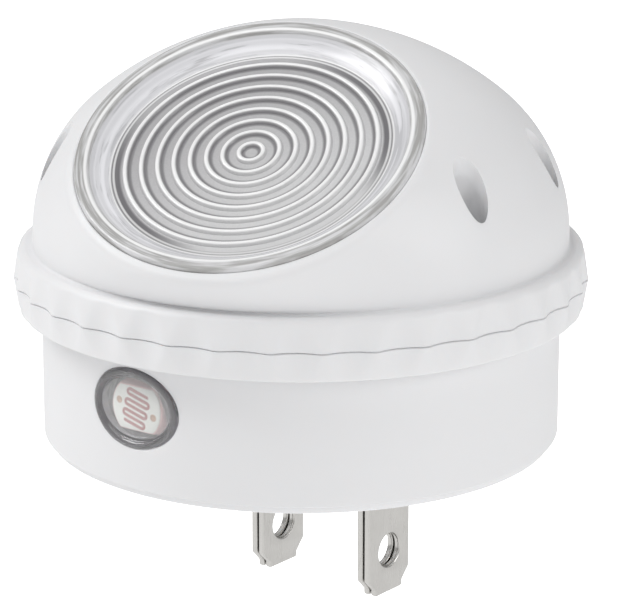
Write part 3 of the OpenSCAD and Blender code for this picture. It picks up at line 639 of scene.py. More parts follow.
# After its name and colour, a moulded finish has its roughness, change of tone, grain and bump, and a metal
# one its roughness, lines, spots and bump
MAKERS = {
    "shell_white": lambda: moulded(
        "Satin White Moulding",
        finishes().shell_white,
        0.42,
        0.02,
        5200.0,
        0.18,
        IOR=1.5,
        Subsurface_Weight=0.15,
        Subsurface_Radius=(0.0012, 0.0010, 0.0009),
        Subsurface_Scale=1.0,
    ),
    "natural_plastic": lambda: moulded(
        "Natural Plastic", (0.74, 0.73, 0.69), 0.5, 0.05, 4200.0, 0.25, IOR=1.48
    ),
    # the lens's tones, highlights and shade are painted into its colour by radius
    "lens_clear": lambda: zoned_clear("Lens Clear", lens_zone_group, 0.14),
    "window_clear": lambda: zoned_clear("Window Clear", window_zone_group, 0.88),
    "bowl_silver": lambda: metal("Bowl Silver", finishes().bowl_silver, 0.20, 900.0, 0.10, 0.25),
    "blade_nickel": lambda: metal("Blade Nickel", finishes().blade_metal, 0.24, 7000.0, 0.16, 0.25),
    "screw_zinc": lambda: metal("Screw Zinc", (0.55, 0.56, 0.58), 0.32, 5200.0, 0.18, 0.25),
    "board_green": lambda: moulded(
        "Board Mask", (0.012, 0.11, 0.045), 0.33, 0.35, 1500.0, 0.35, Coat_Weight=0.3
    ),
    "board_white": lambda: moulded("Lamp Board Mask", (0.78, 0.78, 0.76), 0.35, 0.06, 1500.0, 0.3),
    "film_box": lambda: moulded("Film Box", (0.50, 0.27, 0.035), 0.36, 0.10, 2600.0, 0.3),
    "can_sleeve": lambda: moulded(
        "Can Sleeve", (0.012, 0.018, 0.05), 0.22, 0.12, 1400.0, 0.15, Coat_Weight=0.4
    ),
    "black_resin": lambda: moulded("Black Resin", (0.018, 0.018, 0.019), 0.46, 0.15, 3600.0, 0.4),
    "resistor_coat": lambda: moulded("Resistor Coat", (0.23, 0.42, 0.50), 0.4, 0.12, 2600.0, 0.35),
    "small_resistor_coat": lambda: moulded(
        "Small Resistor Coat", (0.55, 0.40, 0.23), 0.42, 0.12, 2600.0, 0.35
    ),
    "lead_tin": lambda: metal("Lead Tin", (0.62, 0.62, 0.62), 0.28, 4200.0, 0.10, 0.15),
    "electrode_copper": lambda: metal("Electrode Copper", (0.55, 0.36, 0.25), 0.30, 4200.0, 0.10, 0.15),
    "washer_rubber": lambda: moulded("Washer Rubber", (0.42, 0.12, 0.03), 0.6, 0.10, 3200.0, 0.4),
    "wire_coat": lambda: moulded("Wire Coat", (0.42, 0.03, 0.025), 0.38, 0.08, 2200.0, 0.2),
    "cell_ceramic": lambda: moulded("Cell Ceramic", (0.88, 0.62, 0.60), 0.45, 0.06, 3800.0, 0.3),
    "cell_face": lambda: moulded(
        "Cell Face", finishes().cell_face, 0.32, 0.08, 4200.0, 0.2, Coat_Weight=0.5
    ),
    "cell_track": lambda: moulded(
        "Cell Track", finishes().cell_track, 0.35, 0.12, 4200.0, 0.2, Coat_Weight=0.5
    ),
    "lamp_body": lambda: moulded("Lamp Body", (0.80, 0.79, 0.75), 0.35, 0.04, 3600.0, 0.2),
    "lamp_phosphor": lambda: moulded(
        "Lamp Phosphor", (0.82, 0.62, 0.10), 0.38, 0.08, 3600.0, 0.3, Coat_Weight=0.6
    ),
}


# ---------------------------------------------------------------- mesh helpers


def head_place():
    """The head's turn in the resting pose."""
    return Matrix.Rotation(sizes().head_turn, 4, "Z")


def lens_axis():
    """From the lens's own frame, with its rim at z = 0, to the head's."""
    size = sizes()
    return Matrix.Translation((0.0, -size.lens_out, size.lens_z)) @ Matrix.Rotation(size.lens_tilt, 4, "X")


def lens_place():
    """From the lens's own frame to the model's, with the head at rest."""
    return head_place() @ lens_axis()


def arc(centre, arc_r, start, stop, count):
    """Points of an arc in section, by degrees, both ends included."""
    points = []
    for i in range(count + 1):
        a = math.radians(start + (stop - start) * i / count)
        points.append((centre[0] + arc_r * math.cos(a), centre[1] + arc_r * math.sin(a)))
    return points


def on_circle(rho, degrees):
    """x and y at a distance from the axis, turned from the sensor's side."""
    a = math.radians(degrees)
    return rho * math.sin(a), -rho * math.cos(a)


def circle(r, z, place=None, count=RING_COLUMNS):
    """A ring of points in metres, by radius and height in millimetres, moved by a matrix."""
    points = []
    for j in range(count):
        a = math.tau * j / count
        points.append(Vector((r * math.sin(a), -r * math.cos(a), z)) * MM)
    return [place @ point for point in points] if place else points


def rounded(section, radii, count=3):
    """A closed section with its corners rounded, each by its own radius."""
    result = []
    total = len(section)
    for i, (point, corner_r) in enumerate(zip(section, radii)):
        here = Vector(point)
        before = Vector(section[i - 1]) - here
        after = Vector(section[(i + 1) % total]) - here
        opening = before.angle(after)
        if corner_r <= 0 or not 0.05 < opening < math.pi - 0.05:
            result.append(tuple(here))
            continue
        reach = min(corner_r / math.tan(opening / 2), before.length * 0.49, after.length * 0.49)
        start = here + before.normalized() * reach
        stop = here + after.normalized() * reach
        for k in range(count + 1):
            t = k / count
            result.append(tuple(start.lerp(here, t).lerp(here.lerp(stop, t), t)))
    return result


def lathe(section, segments):
    """Revolves a closed section of (radius, height) in millimetres round +Z, with poles on the axis."""
    vertices, rings = [], []
    for r, z in section:
        if r < 1e-6:
            rings.append([len(vertices)] * segments)
            vertices.append((0.0, 0.0, z * MM))
        else:
            rings.append(list(range(len(vertices), len(vertices) + segments)))
            for j in range(segments):
                a = math.tau * j / segments
                vertices.append((r * math.sin(a) * MM, -r * math.cos(a) * MM, z * MM))
    faces = []
    for i, ring in enumerate(rings):
        other = rings[(i + 1) % len(rings)]
        for j in range(segments):
            k = (j + 1) % segments
            corners = [ring[j], ring[k], other[k], other[j]]
            face = [c for n, c in enumerate(corners) if c != corners[n - 1]]
            if len(set(face)) >= 3:
                faces.append(face)
    return vertices, faces


def ring_faces(rows, count, closed=False):
    """Faces between rings of count points each, the last ring joined to the first if closed."""
    faces = []
    for i in range(rows if closed else rows - 1):
        k = (i + 1) % rows
        for j in range(count):
            n = (j + 1) % count
            faces.append([i * count + j, i * count + n, k * count + n, k * count + j])
    return faces


def capped(rows):
    """Rings of points joined, with a flat face at each end."""
    vertices = [tuple(point) for row in rows for point in row]
    count = len(rows[0])
    faces = ring_faces(len(rows), count)
    faces.append(list(range(count))[::-1])
    faces.append(list(range(len(vertices) - count, len(vertices))))
    return vertices, faces


def fanned(rows, start, stop):
    """Rings of points joined, with a fan of faces to a middle point at each end."""
    vertices = [tuple(point) for row in rows for point in row]
    count, total = len(rows[0]), len(vertices)
    faces = ring_faces(len(rows), count)
    for j in range(count):
        n = (j + 1) % count
        faces.append([n, j, total])
        faces.append([total - count + j, total - count + n, total + 1])
    return vertices + [tuple(start), tuple(stop)], faces


def joined(*meshes):
    """Several (vertices, faces) as one."""
    vertices, faces = [], []
    for some_vertices, some_faces in meshes:
        start = len(vertices)
        vertices.extend(some_vertices)
        faces.extend([[start + i for i in face] for face in some_faces])
    return vertices, faces


def moved(mesh, matrix):
    """(vertices, faces) with a matrix applied."""
    return [tuple(matrix @ Vector(v)) for v in mesh[0]], mesh[1]


def stood(mesh, x, y):
    """(vertices, faces) moved to x and y in millimetres."""
    return moved(mesh, Matrix.Translation((x * MM, y * MM, 0)))


def make_object(name, mesh, matrix=None, smooth_angle=32.0):
    """An object at the origin from (vertices, faces), with its normals outward."""
    data = bpy.data.meshes.new(name)
    data.from_pydata(mesh[0], [], mesh[1])
    body = bmesh.new()
    body.from_mesh(data)
    bmesh.ops.remove_doubles(body, verts=body.verts, dist=1e-7)
    if matrix is not None:
        body.transform(matrix)
    bmesh.ops.recalc_face_normals(body, faces=body.faces)
    body.to_mesh(data)
    body.free()
    obj = bpy.data.objects.new(name, data)
    bpy.context.scene.collection.objects.link(obj)
    smooth(obj, smooth_angle)
    return obj


def smooth(obj, angle=32.0):
    """Smooth shading up to an angle between faces."""
    obj.data.shade_smooth()
    obj.data.set_sharp_from_angle(angle=math.radians(angle))


def baked(obj):
    """Replaces an object's modifiers by their result."""
    bpy.context.view_layer.update()
    graph = bpy.context.evaluated_depsgraph_get()
    data = bpy.data.meshes.new_from_object(obj.evaluated_get(graph))
    obj.modifiers.clear()
    old = obj.data
    obj.data = data
    if old.users == 0:
        bpy.data.meshes.remove(old)
    obj.data.name = obj.name
    return obj


def cut(obj, cutter):
    """Cuts one closed mesh with another, which is then deleted."""
    tool = obj.modifiers.new("Cut", "BOOLEAN")
    tool.operation = "DIFFERENCE"
    tool.solver = "EXACT"
    tool.object = cutter
    baked(obj)
    data = cutter.data
    bpy.data.objects.remove(cutter)
    bpy.data.meshes.remove(data)
    return obj


def merged(obj, extra, matrix=None):
    """Adds another object's mesh to an object's, moves the result, and deletes the other object."""
    whole = bmesh.new()
    whole.from_mesh(obj.data)
    whole.from_mesh(extra.data)
    if matrix is not None:
        whole.transform(matrix)
    whole.to_mesh(obj.data)
    whole.free()
    bpy.data.objects.remove(extra)
    return obj


def bevelled(obj, width, from_angle=40.0):
    """Rounds an object's sharp edges."""
    tool = obj.modifiers.new("Edges", "BEVEL")
    tool.width = width
    tool.segments = 2
    tool.limit_method = "ANGLE"
    tool.angle_limit = math.radians(from_angle)
    return baked(obj)


def finished(obj, material, slot, body, *nodes):
    """Gives a piece its finish, hides the nodes it stands for and hangs it on the body it rides on. The slot
    is not used.
    """
    obj.data.materials.clear()
    obj.data.materials.append(finish_named(material))
    if nodes:
        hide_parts(*nodes)
    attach(obj, body)
    return obj


def block(low, high):
    """A box by two corners, in millimetres."""
    xs, ys, zs = [(low[i] * MM, high[i] * MM) for i in range(3)]
    vertices = [(x, y, z) for x in xs for y in ys for z in zs]
    faces = [[0, 1, 3, 2], [4, 6, 7, 5], [0, 4, 5, 1], [2, 3, 7, 6], [0, 2, 6, 4], [1, 5, 7, 3]]
    return vertices, faces


def rod(rod_r, low, high, x, y, segments):
    """An upright cylinder, in millimetres."""
    return stood(lathe([(0, low), (rod_r, low), (rod_r, high), (0, high)], segments), x, y)


# ---------------------------------------------------------------- geometry nodes


def new_geometry_tree(name, inputs):
    """A geometry tree with named inputs (name, socket kind, default), in NodeSheet form."""
    tree = bpy.data.node_groups.new(name, "GeometryNodeTree")
    tree.interface.new_socket(name="Geometry", in_out="INPUT", socket_type="NodeSocketGeometry")
    for label, kind, default in inputs:
        socket = tree.interface.new_socket(name=label, in_out="INPUT", socket_type=kind)
        if default is not None:
            socket.default_value = default
    tree.interface.new_socket(name="Geometry", in_out="OUTPUT", socket_type="NodeSocketGeometry")
    sheet = NodeSheet(tree)
    return sheet, sheet.add("NodeGroupInput"), sheet.add("NodeGroupOutput")


def end_tree(sheet, geometry, given, out):
    """Ends a geometry tree in Realize Instances and Set Material."""
    real = sheet.add("GeometryNodeRealizeInstances", {"Geometry": geometry})
    dressing = {"Geometry": real.outputs[0], "Material": given.outputs["Finish"]}
    dressed = sheet.add("GeometryNodeSetMaterial", dressing)
    sheet.link(dressed.outputs[0], out.inputs["Geometry"])


def flute_tree():
    """Finger flutes: every point outside the hollow of the nearest upright cylinder is drawn in to it."""
    sheet, given, out = new_geometry_tree(
        "Finger Flutes",
        [
            ("Ring Radius", FLOAT, 0.02654),
            ("Flutes", FLOAT, 36.0),
            ("Flute Radius", FLOAT, 0.005),
            ("Flute Depth", FLOAT, 0.0005),
            ("Edge Softness", FLOAT, 0.0002),
            ("Parting Height", FLOAT, 0.0154),
            ("Ring Top", FLOAT, 0.0185),
            ("Groove Half Height", FLOAT, 0.00008),
            ("Groove Depth", FLOAT, 0.0002),
            ("Finish", "NodeSocketMaterial", None),
        ],
    )
    ring_r, flute_r = given.outputs["Ring Radius"], given.outputs["Flute Radius"]
    place = sheet.add("GeometryNodeInputPosition").outputs[0]
    x, y, z = sheet.add("ShaderNodeSeparateXYZ", {"Vector": place}).outputs
    r = radius(sheet, x, y)
    pitch = sheet.math("DIVIDE", math.tau, given.outputs["Flutes"])
    half = sheet.math("MULTIPLY", pitch, 0.5)
    turn = sheet.math("ADD", sheet.math("ARCTAN2", y, x), half)
    off = sheet.math("SUBTRACT", sheet.math("FLOORED_MODULO", turn, pitch), half)
    far = sheet.math("SUBTRACT", sheet.math("ADD", ring_r, flute_r), given.outputs["Flute Depth"])
    side = sheet.math("MULTIPLY", far, sheet.math("SINE", off))
    square = sheet.math("SUBTRACT", sheet.math("POWER", flute_r, 2.0), sheet.math("MULTIPLY", side, side))
    chord = sheet.math("SQRT", sheet.math("MAXIMUM", square, 0.0))
    hollow = sheet.math("SUBTRACT", sheet.math("MULTIPLY", far, sheet.math("COSINE", off)), chord)
    fluted = sheet.math("SMOOTH_MIN", r, hollow, given.outputs["Edge Softness"])
    off_parting = sheet.math("ABSOLUTE", sheet.math("SUBTRACT", z, given.outputs["Parting Height"]))
    away = sheet.math("DIVIDE", off_parting, given.outputs["Groove Half Height"])
    near = sheet.math("MAXIMUM", sheet.math("SUBTRACT", 1.0, away), 0.0)
    new_r = sheet.math("SUBTRACT", fluted, sheet.math("MULTIPLY", near, given.outputs["Groove Depth"]))
    share = sheet.math("DIVIDE", new_r, sheet.math("MAXIMUM", r, 1e-6))
    outside = sheet.math("GREATER_THAN", r, sheet.math("SUBTRACT", ring_r, RING_RIM * MM))
    outer = sheet.math("MULTIPLY", outside, sheet.math("LESS_THAN", z, given.outputs["Ring Top"]))
    keep = sheet.math("ADD", sheet.math("MULTIPLY", sheet.math("SUBTRACT", share, 1.0), outer), 1.0)
    drawn_in = {"X": sheet.math("MULTIPLY", x, keep), "Y": sheet.math("MULTIPLY", y, keep), "Z": z}
    to = sheet.add("ShaderNodeCombineXYZ", drawn_in).outputs[0]
    shaped = sheet.add("GeometryNodeSetPosition", {"Geometry": given.outputs["Geometry"], "Position": to})
    end_tree(sheet, shaped.outputs[0], given, out)
    return sheet.tree


def screw_tree():
    """One screw on every point, each driven home at its own turn."""
    sheet, given, out = new_geometry_tree(
        "Screws",
        [
            ("Screw", "NodeSocketObject", None),
            ("Driven To", FLOAT, math.tau),
            ("Seed", "NodeSocketInt", 3),
            ("Axis Turn", "NodeSocketVector", (0.0, 0.0, 0.0)),
            ("Finish", "NodeSocketMaterial", None),
        ],
    )
    screw = sheet.add("GeometryNodeObjectInfo", {"Object": given.outputs["Screw"]})
    turn = sheet.add("FunctionNodeRandomValue", {"Seed": given.outputs["Seed"]}, data_type="FLOAT")
    sheet.link(given.outputs["Driven To"], turn.inputs[3])
    spin = sheet.add("ShaderNodeCombineXYZ", {"Z": turn.outputs[1]})
    own = sheet.add("FunctionNodeEulerToRotation", {"Euler": spin.outputs[0]})
    tipped = sheet.add("FunctionNodeEulerToRotation", {"Euler": given.outputs["Axis Turn"]})
    both = sheet.add(
        "FunctionNodeRotateRotation",
        {"Rotation": own.outputs[0], "Rotate By": tipped.outputs[0]},
        rotation_space="GLOBAL",
    )
    placed = sheet.add(
        "GeometryNodeInstanceOnPoints",
        {
            "Points": given.outputs["Geometry"],
            "Instance": screw.outputs["Geometry"],
            "Rotation": both.outputs[0],
        },
    )
    end_tree(sheet, placed.outputs[0], given, out)
    return sheet.tree


def with_tree(obj, tree, settings):
    """Runs a geometry tree on an object, inputs set by socket identifier, and keeps the plain mesh."""
    modifier = obj.modifiers.new(tree.name, "NODES")
    modifier.node_group = tree
    for item in tree.interface.items_tree:
        if item.item_type == "SOCKET" and item.in_out == "INPUT" and item.name in settings:
            modifier[item.identifier] = settings[item.name]
    return baked(obj)


# ---------------------------------------------------------------- head: dome, ring halves


def dome_section():
    """Half the dome's section from the ring up to the top, in millimetres, in its two tangent arcs."""
    size = sizes()
    r_side, r_top = size.dome_side_r / MM, size.dome_top_r / MM
    dome_r = RING_R / MM - size.dome_step / MM
    belly = PARTING_Z / MM + (size.ring_upper_h + size.belly) / MM
    side_x = dome_r - r_side
    top_z = belly - math.sqrt((r_top - r_side) ** 2 - side_x**2)
    turn = math.degrees(math.atan2(belly - top_z, side_x))
    foot = -math.degrees(math.atan2(size.belly / MM + 0.8, r_side))
    side = arc((side_x, belly), r_side, foot, turn, 26)
    top = arc((0.0, top_z), r_top, turn, 90.0, 22)
    return side + top[1:]


def hull_of_head():
    """A closed convex shape round the dome and the lens collar, to cast rays on, in the head's own frame."""
    ring_top = (PARTING_Z + sizes().ring_upper_h) / MM
    section = [(r, z) for r, z in dome_section() if z > ring_top - 0.1]
    section.insert(0, (section[0][0], ring_top - 0.3))
    points = []
    for r, z in section:
        points += circle(r, z, count=max(8, int(HULL_POINTS * r / HULL_R)))
    points.append(Vector((0, 0, section[-1][1])) * MM)
    for r, z in arc((COLLAR_R - COLLAR_ROUND, -COLLAR_DROP - COLLAR_ROUND), COLLAR_ROUND, -10, 90, 10):
        points += circle(r, z, lens_axis(), COLLAR_POINTS)
    shape = bmesh.new()
    for point in points:
        shape.verts.new(point)
    result = bmesh.ops.convex_hull(shape, input=shape.verts)
    spare = [e for e in result["geom_interior"] + result["geom_unused"] if isinstance(e, bmesh.types.BMVert)]
    bmesh.ops.delete(shape, geom=list(set(spare)), context="VERTS")
    tree = BVHTree.FromBMesh(shape)
    shape.free()
    return tree


def dome_foot_r():
    """The dome's radius where it rises out of the groove on top of the ring, in millimetres."""
    size = sizes()
    side_x = (RING_R - size.dome_step - size.dome_side_r) / MM
    return side_x + math.sqrt((size.dome_side_r / MM) ** 2 - (size.belly / MM - FOOT_UP) ** 2)


def ring_profile_upper():
    """The upper ring half's outside, from the parting plane up to the foot of the dome, in millimetres."""
    ring, low = RING_R / MM, PARTING_Z / MM
    top = low + sizes().ring_upper_h / MM
    foot = dome_foot_r()
    shoulder = arc((ring - RING_TAPER - SHOULDER_R, top - SHOULDER_R + 0.1), SHOULDER_R, 8, 86, 9)
    points = [(24.9, low), (25.9, low), (ring, low), (ring, low + PARTING_HALF)]
    side_r, side_z = shoulder[0]
    for i in range(1, 6):
        t = i / 6
        points.append((ring + (side_r - ring) * t, low + PARTING_HALF + (side_z - low - PARTING_HALF) * t))
    points += shoulder
    return points + [(foot + r, top + z) for r, z in FOOT_ROUND]


def chinned(point, ring_top):
    """Draws a point of the dome in to the cone that carries the lens collar down to the ring."""
    rho = math.hypot(point.x, point.y) / MM
    dome_r = (RING_R - sizes().dome_step) / MM
    limit = dome_r + CHIN_FOOT + CHIN_SLOPE * (point.z / MM - ring_top)
    near = max(CHIN_SOFT - abs(rho - limit), 0.0) / CHIN_SOFT
    kept = min(rho, limit) - near * near * CHIN_SOFT / 4
    share = kept / max(rho, 1e-6)
    return Vector((point.x * share, point.y * share, point.z))


def fan_shares():
    """How far up the rings of the dome's outside lie, from its foot to the collar's lip."""
    return [1 - (1 - i / FAN_ROWS) ** FAN_CROWDING for i in range(1, FAN_ROWS)]


def fan_of_rays(hull, middle, foot, lip):
    """Rows of directions from a point, fanned up from the dome's foot, with how far off the hull is."""
    ways, reach = [], []
    for t in fan_shares():
        row = [(a - middle).normalized().slerp((b - middle).normalized(), t) for a, b in zip(foot, lip)]
        ways.append(row)
        reach.append([(hull.ray_cast(middle + way * 0.2, -way)[0] - middle).length for way in row])
    return ways, reach


def ring_blur(row):
    """The numbers of a closed ring, each drawn to its two neighbours on either side."""
    n = len(row)
    result = []
    for j in range(n):
        total = row[j - 2] + 4 * row[j - 1] + 6 * row[j] + 4 * row[(j + 1) % n] + row[(j + 2) % n]
        result.append(total / 16)
    return result


def evened(reach, low, high):
    """Evens out the facets of the hull, along the rings and then across them."""
    for _ in range(3):
        rows = [low] + [ring_blur(ring_blur(row)) for row in reach] + [high]
        threes = zip(rows, rows[1:], rows[2:])
        reach = [[(a + 2 * b + c) / 4 for a, b, c in zip(*three)] for three in threes]
    return reach


def inner_rows(middle, ways, reach):
    """Rings of the dome's inside, a wall's thickness in, and kept under the lens ledge."""
    to_lens = lens_axis().inverted()
    fan = fan_shares()
    rows = []
    for share in INNER_SHARES:
        i = min(range(len(fan)), key=lambda k: abs(fan[k] - share * 0.92))
        row = []
        for way, length in zip(ways[i], reach[i]):
            point = middle + way * max(length - DOME_WALL * MM * 1.12, 0.001)
            over = (to_lens @ point).z - LEDGE_LOW * MM
            if over > 0:
                point = point + way * min(-over / (to_lens.to_3x3() @ way).z, 0.0)
            row.append(point)
        rows.append(row)
    return rows


def dome_rows(hull):
    """Rings of points of the dome moulding, outside and then inside, in the head's own frame."""
    low = PARTING_Z / MM
    top = low + sizes().ring_upper_h / MM
    axis = lens_axis()
    middle = axis @ Vector((0, 0, FAN_FROM * MM))
    foot = circle(dome_foot_r(), top + FOOT_UP)
    lip = circle(COLLAR_R - COLLAR_ROUND - 0.05, -COLLAR_DROP, axis)
    ways, reach = fan_of_rays(hull, middle, foot, lip)
    reach = evened(reach, [(p - middle).length for p in foot], [(p - middle).length for p in lip])
    rows = [circle(r, z) for r, z in ring_profile_upper()]
    rows.append(foot)
    rows += [[chinned(middle + way * length, top) for way, length in zip(w, r)] for w, r in zip(ways, reach)]
    rows.append([chinned(p, top) for p in lip])
    # over the lip, down the well that takes the lens, round its ledge and back down the inside
    bore = sizes().lens_r / MM + LENS_GAP
    well = [(bore + 0.06, -COLLAR_DROP), (bore, -COLLAR_DROP - 0.08), (bore, -1.6), (bore, -2.8)]
    well += [(bore, LEDGE_S), (LEDGE_R, LEDGE_S), (LEDGE_R, LEDGE_LOW + 0.1)]
    rows += [circle(r, z, axis) for r, z in well]
    rows += inner_rows(middle, ways, reach)
    seat = low + JOINT_UP
    joint = [(DOME_BORE_R, top - 0.2), (DOME_BORE_R, seat), (JOINT_R, seat), (JOINT_R, low)]
    return rows + [circle(r, z) for r, z in joint]


def grid_mesh(rows):
    """Faces between rings of points, the last ring joined to the first."""
    return [tuple(p) for row in rows for p in row], ring_faces(len(rows), len(rows[0]), closed=True)


def pocket_cutters():
    """The four blind screw pockets."""
    places = [on_circle(POCKET_RHO, degrees) for degrees in POCKET_AT]
    return joined(*[rod(POCKET_R, POCKET_FLOOR, POCKET_OPEN, x, y, SLEEVE_POINTS) for x, y in places])


def sleeve_rows(hull, x, y, sleeve_r, low):
    """A ring of points round a pocket, and the ring over it that stays inside the dome."""
    low_row, high_row = [], []
    for j in range(SLEEVE_POINTS):
        out_x, out_y = on_circle(sleeve_r, 360 * j / SLEEVE_POINTS)
        rho = math.hypot(x + out_x, y + out_y)
        share = min(1.0, SLEEVE_REACH / rho)
        point = Vector(((x + out_x) * share, (y + out_y) * share, 0)) * MM
        hit, normal = hull.ray_cast(point + Vector((0, 0, 0.06)), Vector((0, 0, -1)))[:2]
        high = POCKET_FLOOR * MM + 0.0002
        if hit is not None and rho * share < SLEEVE_RISE_R:
            high = max(high, hit.z - SLEEVE_UNDER * MM / max(normal.z, 0.15))
        low_row.append((point.x, point.y, low))
        high_row.append((point.x, point.y, high))
    return low_row, high_row


def pocket_sleeves(hull):
    """The tubes inside the dome that carry on the pockets' walls down to their floors."""
    floor, under = POCKET_FLOOR * MM, (POCKET_FLOOR - SLEEVE_FLOOR) * MM
    meshes = []
    for degrees in POCKET_AT:
        x, y = on_circle(POCKET_RHO, degrees)
        outer_low, outer_high = sleeve_rows(hull, x, y, POCKET_R + SLEEVE_WALL, under)
        inner_low, inner_high = sleeve_rows(hull, x, y, POCKET_R + SLEEVE_GAP, floor)
        rows = [outer_low, outer_high, inner_high, inner_low]
        meshes.append(fanned(rows, (x * MM, y * MM, under), (x * MM, y * MM, floor)))
    return joined(*meshes)


def flute(obj):
    """Cuts the finger flutes into a ring half."""
    size = sizes()
    settings = {
        "Ring Radius": RING_R,
        "Flutes": float(size.flute_count),
        "Flute Radius": size.flute_r,
        "Flute Depth": size.flute_depth,
        "Edge Softness": 0.22 * MM,
        "Parting Height": PARTING_Z,
        "Ring Top": PARTING_Z + size.ring_upper_h + 0.13 * MM,
        "Groove Half Height": PARTING_HALF * MM,
        "Groove Depth": PARTING_DEPTH * MM,
        "Finish": finish_named("shell_white"),
    }
    return with_tree(obj, shared(flute_tree), settings)


class BuildDome(bpy.types.Operator):
    """Builds the dome with its upper ring half, lens collar and screw pockets"""

    bl_idname = "night_light.dome"
    bl_label = "Dome"

    def execute(self, context):
        hull = hull_of_head()
        dome = make_object("dome", grid_mesh(dome_rows(hull)))
        flute(dome)
        cut(dome, make_object("pocket_cutter", pocket_cutters()))
        merged(dome, make_object("pocket_sleeves", pocket_sleeves(hull)), head_place())
        smooth(dome, 34.0)
        finished(dome, "shell_white", "white_plastic", "head", "dome_shell")
        return {"FINISHED"}


class BuildTray(bpy.types.Operator):
    """Builds the head's floor with the lower ring half"""

    bl_idname = "night_light.tray"
    bl_label = "Tray"

    def execute(self, context):
        tray = make_object("tray", lathe(self.outline(), RING_COLUMNS))
        flute(tray)
        parting = PARTING_Z / MM
        places = [on_circle(POCKET_RHO, degrees) for degrees in POCKET_AT]
        posts = [rod(1.9, parting - 0.2, parting + 3.05, x, y, 40) for x, y in places]
        stop = block((-1.0, -11.8, parting - 0.2), (1.0, -10.2, 17.9))
        extra = bevelled(make_object("tray_posts", joined(*posts, stop)), 0.15 * MM)
        merged(tray, extra, head_place())
        smooth(tray, 34.0)
        finished(tray, "shell_white", "white_plastic", "head", "head_tray")
        return {"FINISHED"}

    @staticmethod
    def outline():
        """The tray's closed section, with points along the ring's side for the flutes to move."""
        ring, low, parting = RING_R / MM, RING_LOW_Z / MM, PARTING_Z / MM
        joint = parting + TRAY_JOINT_UP
        section = [
            (TRAY_HUB_R, TRAY_LOW), (24.35, TRAY_LOW), (24.35, low), (ring - RING_FOOT_TAPER, low),
            (ring, parting - PARTING_HALF), (ring, parting), (TRAY_JOINT_R, parting), (TRAY_JOINT_R, joint),
            (TRAY_BORE_R, joint), (TRAY_BORE_R, parting), (9.0, parting), (9.0, TRAY_FLOOR),
            (TRAY_HUB_R, TRAY_FLOOR),
        ]
        path = rounded(section, [0.1, 0.1, 0.2, 0.2, 0.0, 0.0, 0.0, 0.15, 0.15, 0.1, 0.2, 0.15, 0.15], 5)
        dense = []
        for i, (r, z) in enumerate(path):
            dense.append((r, z))
            next_r, next_z = path[(i + 1) % len(path)]
            if min(r, next_r) > 25.6 and abs(next_z - z) > 0.5:
                dense += [(r + (next_r - r) * k / 6, z + (next_z - z) * k / 6) for k in range(1, 6)]
        return dense


# ---------------------------------------------------------------- lens and lamp


class BuildLens(bpy.types.Operator):
    """Builds the clear lens: rim, sloping step and plate with ring ridges"""

    bl_idname = "night_light.lens"
    bl_label = "Lens"

    def execute(self, context):
        size = sizes()
        out_r, depth, pitch = size.lens_r / MM, size.lens_depth / MM, size.ridge_pitch / MM
        in_r = out_r - LENS_RIM_W
        plate_r = in_r - LENS_SLOPE_W
        under = -LENS_RECESS - LENS_WALL
        section = [(0, -LENS_RECESS)]
        for i in range(size.ridge_count):
            centre = FIRST_RIDGE_R + i * pitch
            for k in range(13):
                t = -1 + k / 6
                rise = RIDGE_HIGH * max(0.0, 1 - t * t) ** 0.8
                section.append((centre + t * RIDGE_HALF, -LENS_RECESS + rise))
        section += [(plate_r, -LENS_RECESS), (in_r, -LENS_EDGE)]
        section += arc((in_r + LENS_EDGE, -LENS_EDGE), LENS_EDGE, 165, 90, 4)
        section += arc((out_r - LENS_EDGE, -LENS_EDGE), LENS_EDGE, 90, 0, 5)
        section += [(out_r, -depth + 0.12), (out_r - 0.12, -depth)]
        section += [(in_r + 0.15, -depth), (in_r, -depth + 0.15)]
        section += [(in_r, under - 0.25), (in_r - 0.25, under), (0, under)]
        lens = make_object("lens_dish", lathe(section, 192), lens_place(), 40.0)
        finished(lens, "lens_clear", "clear_plastic", "head", "lens")
        return {"FINISHED"}


class BuildReflector(bpy.types.Operator):
    """Builds the metallised bowl behind the lens"""

    bl_idname = "night_light.reflector"
    bl_label = "Reflector"

    def execute(self, context):
        neck, mouth, rim = 4.9, -2.8, 13.6
        mid_r, mid_s = 10.65, BOWL_FOOT + 7.5 * 0.42
        inner = [(neck, BOWL_FOOT), (mid_r, mid_s), (rim - 0.8, mouth), (rim + 0.5, mouth)]
        outer = [(rim + 0.5, mouth - 0.7), (rim, mouth - 0.7), (mid_r + 0.8, mid_s), (neck + 1.1, BOWL_FOOT)]
        section = rounded(inner + outer, [0.1, 2.2, 0.3, 0.15, 0.1, 0.1, 2.6, 0.1], 8)
        bowl = make_object("reflector_bowl", lathe(section, 160), lens_place(), 30.0)
        finished(bowl, "bowl_silver", "mirror_coat", "head", "reflector")
        return {"FINISHED"}


# ---------------------------------------------------------------- base


def oval(inset, count):
    """Points (x, z) round the sensor window, inset from its edge, in millimetres."""
    points = []
    for j in range(count):
        a = math.tau * j / count
        points.append(((WINDOW_W / 2 - inset) * math.cos(a), WINDOW_Z + (WINDOW_H / 2 - inset) * math.sin(a)))
    return points


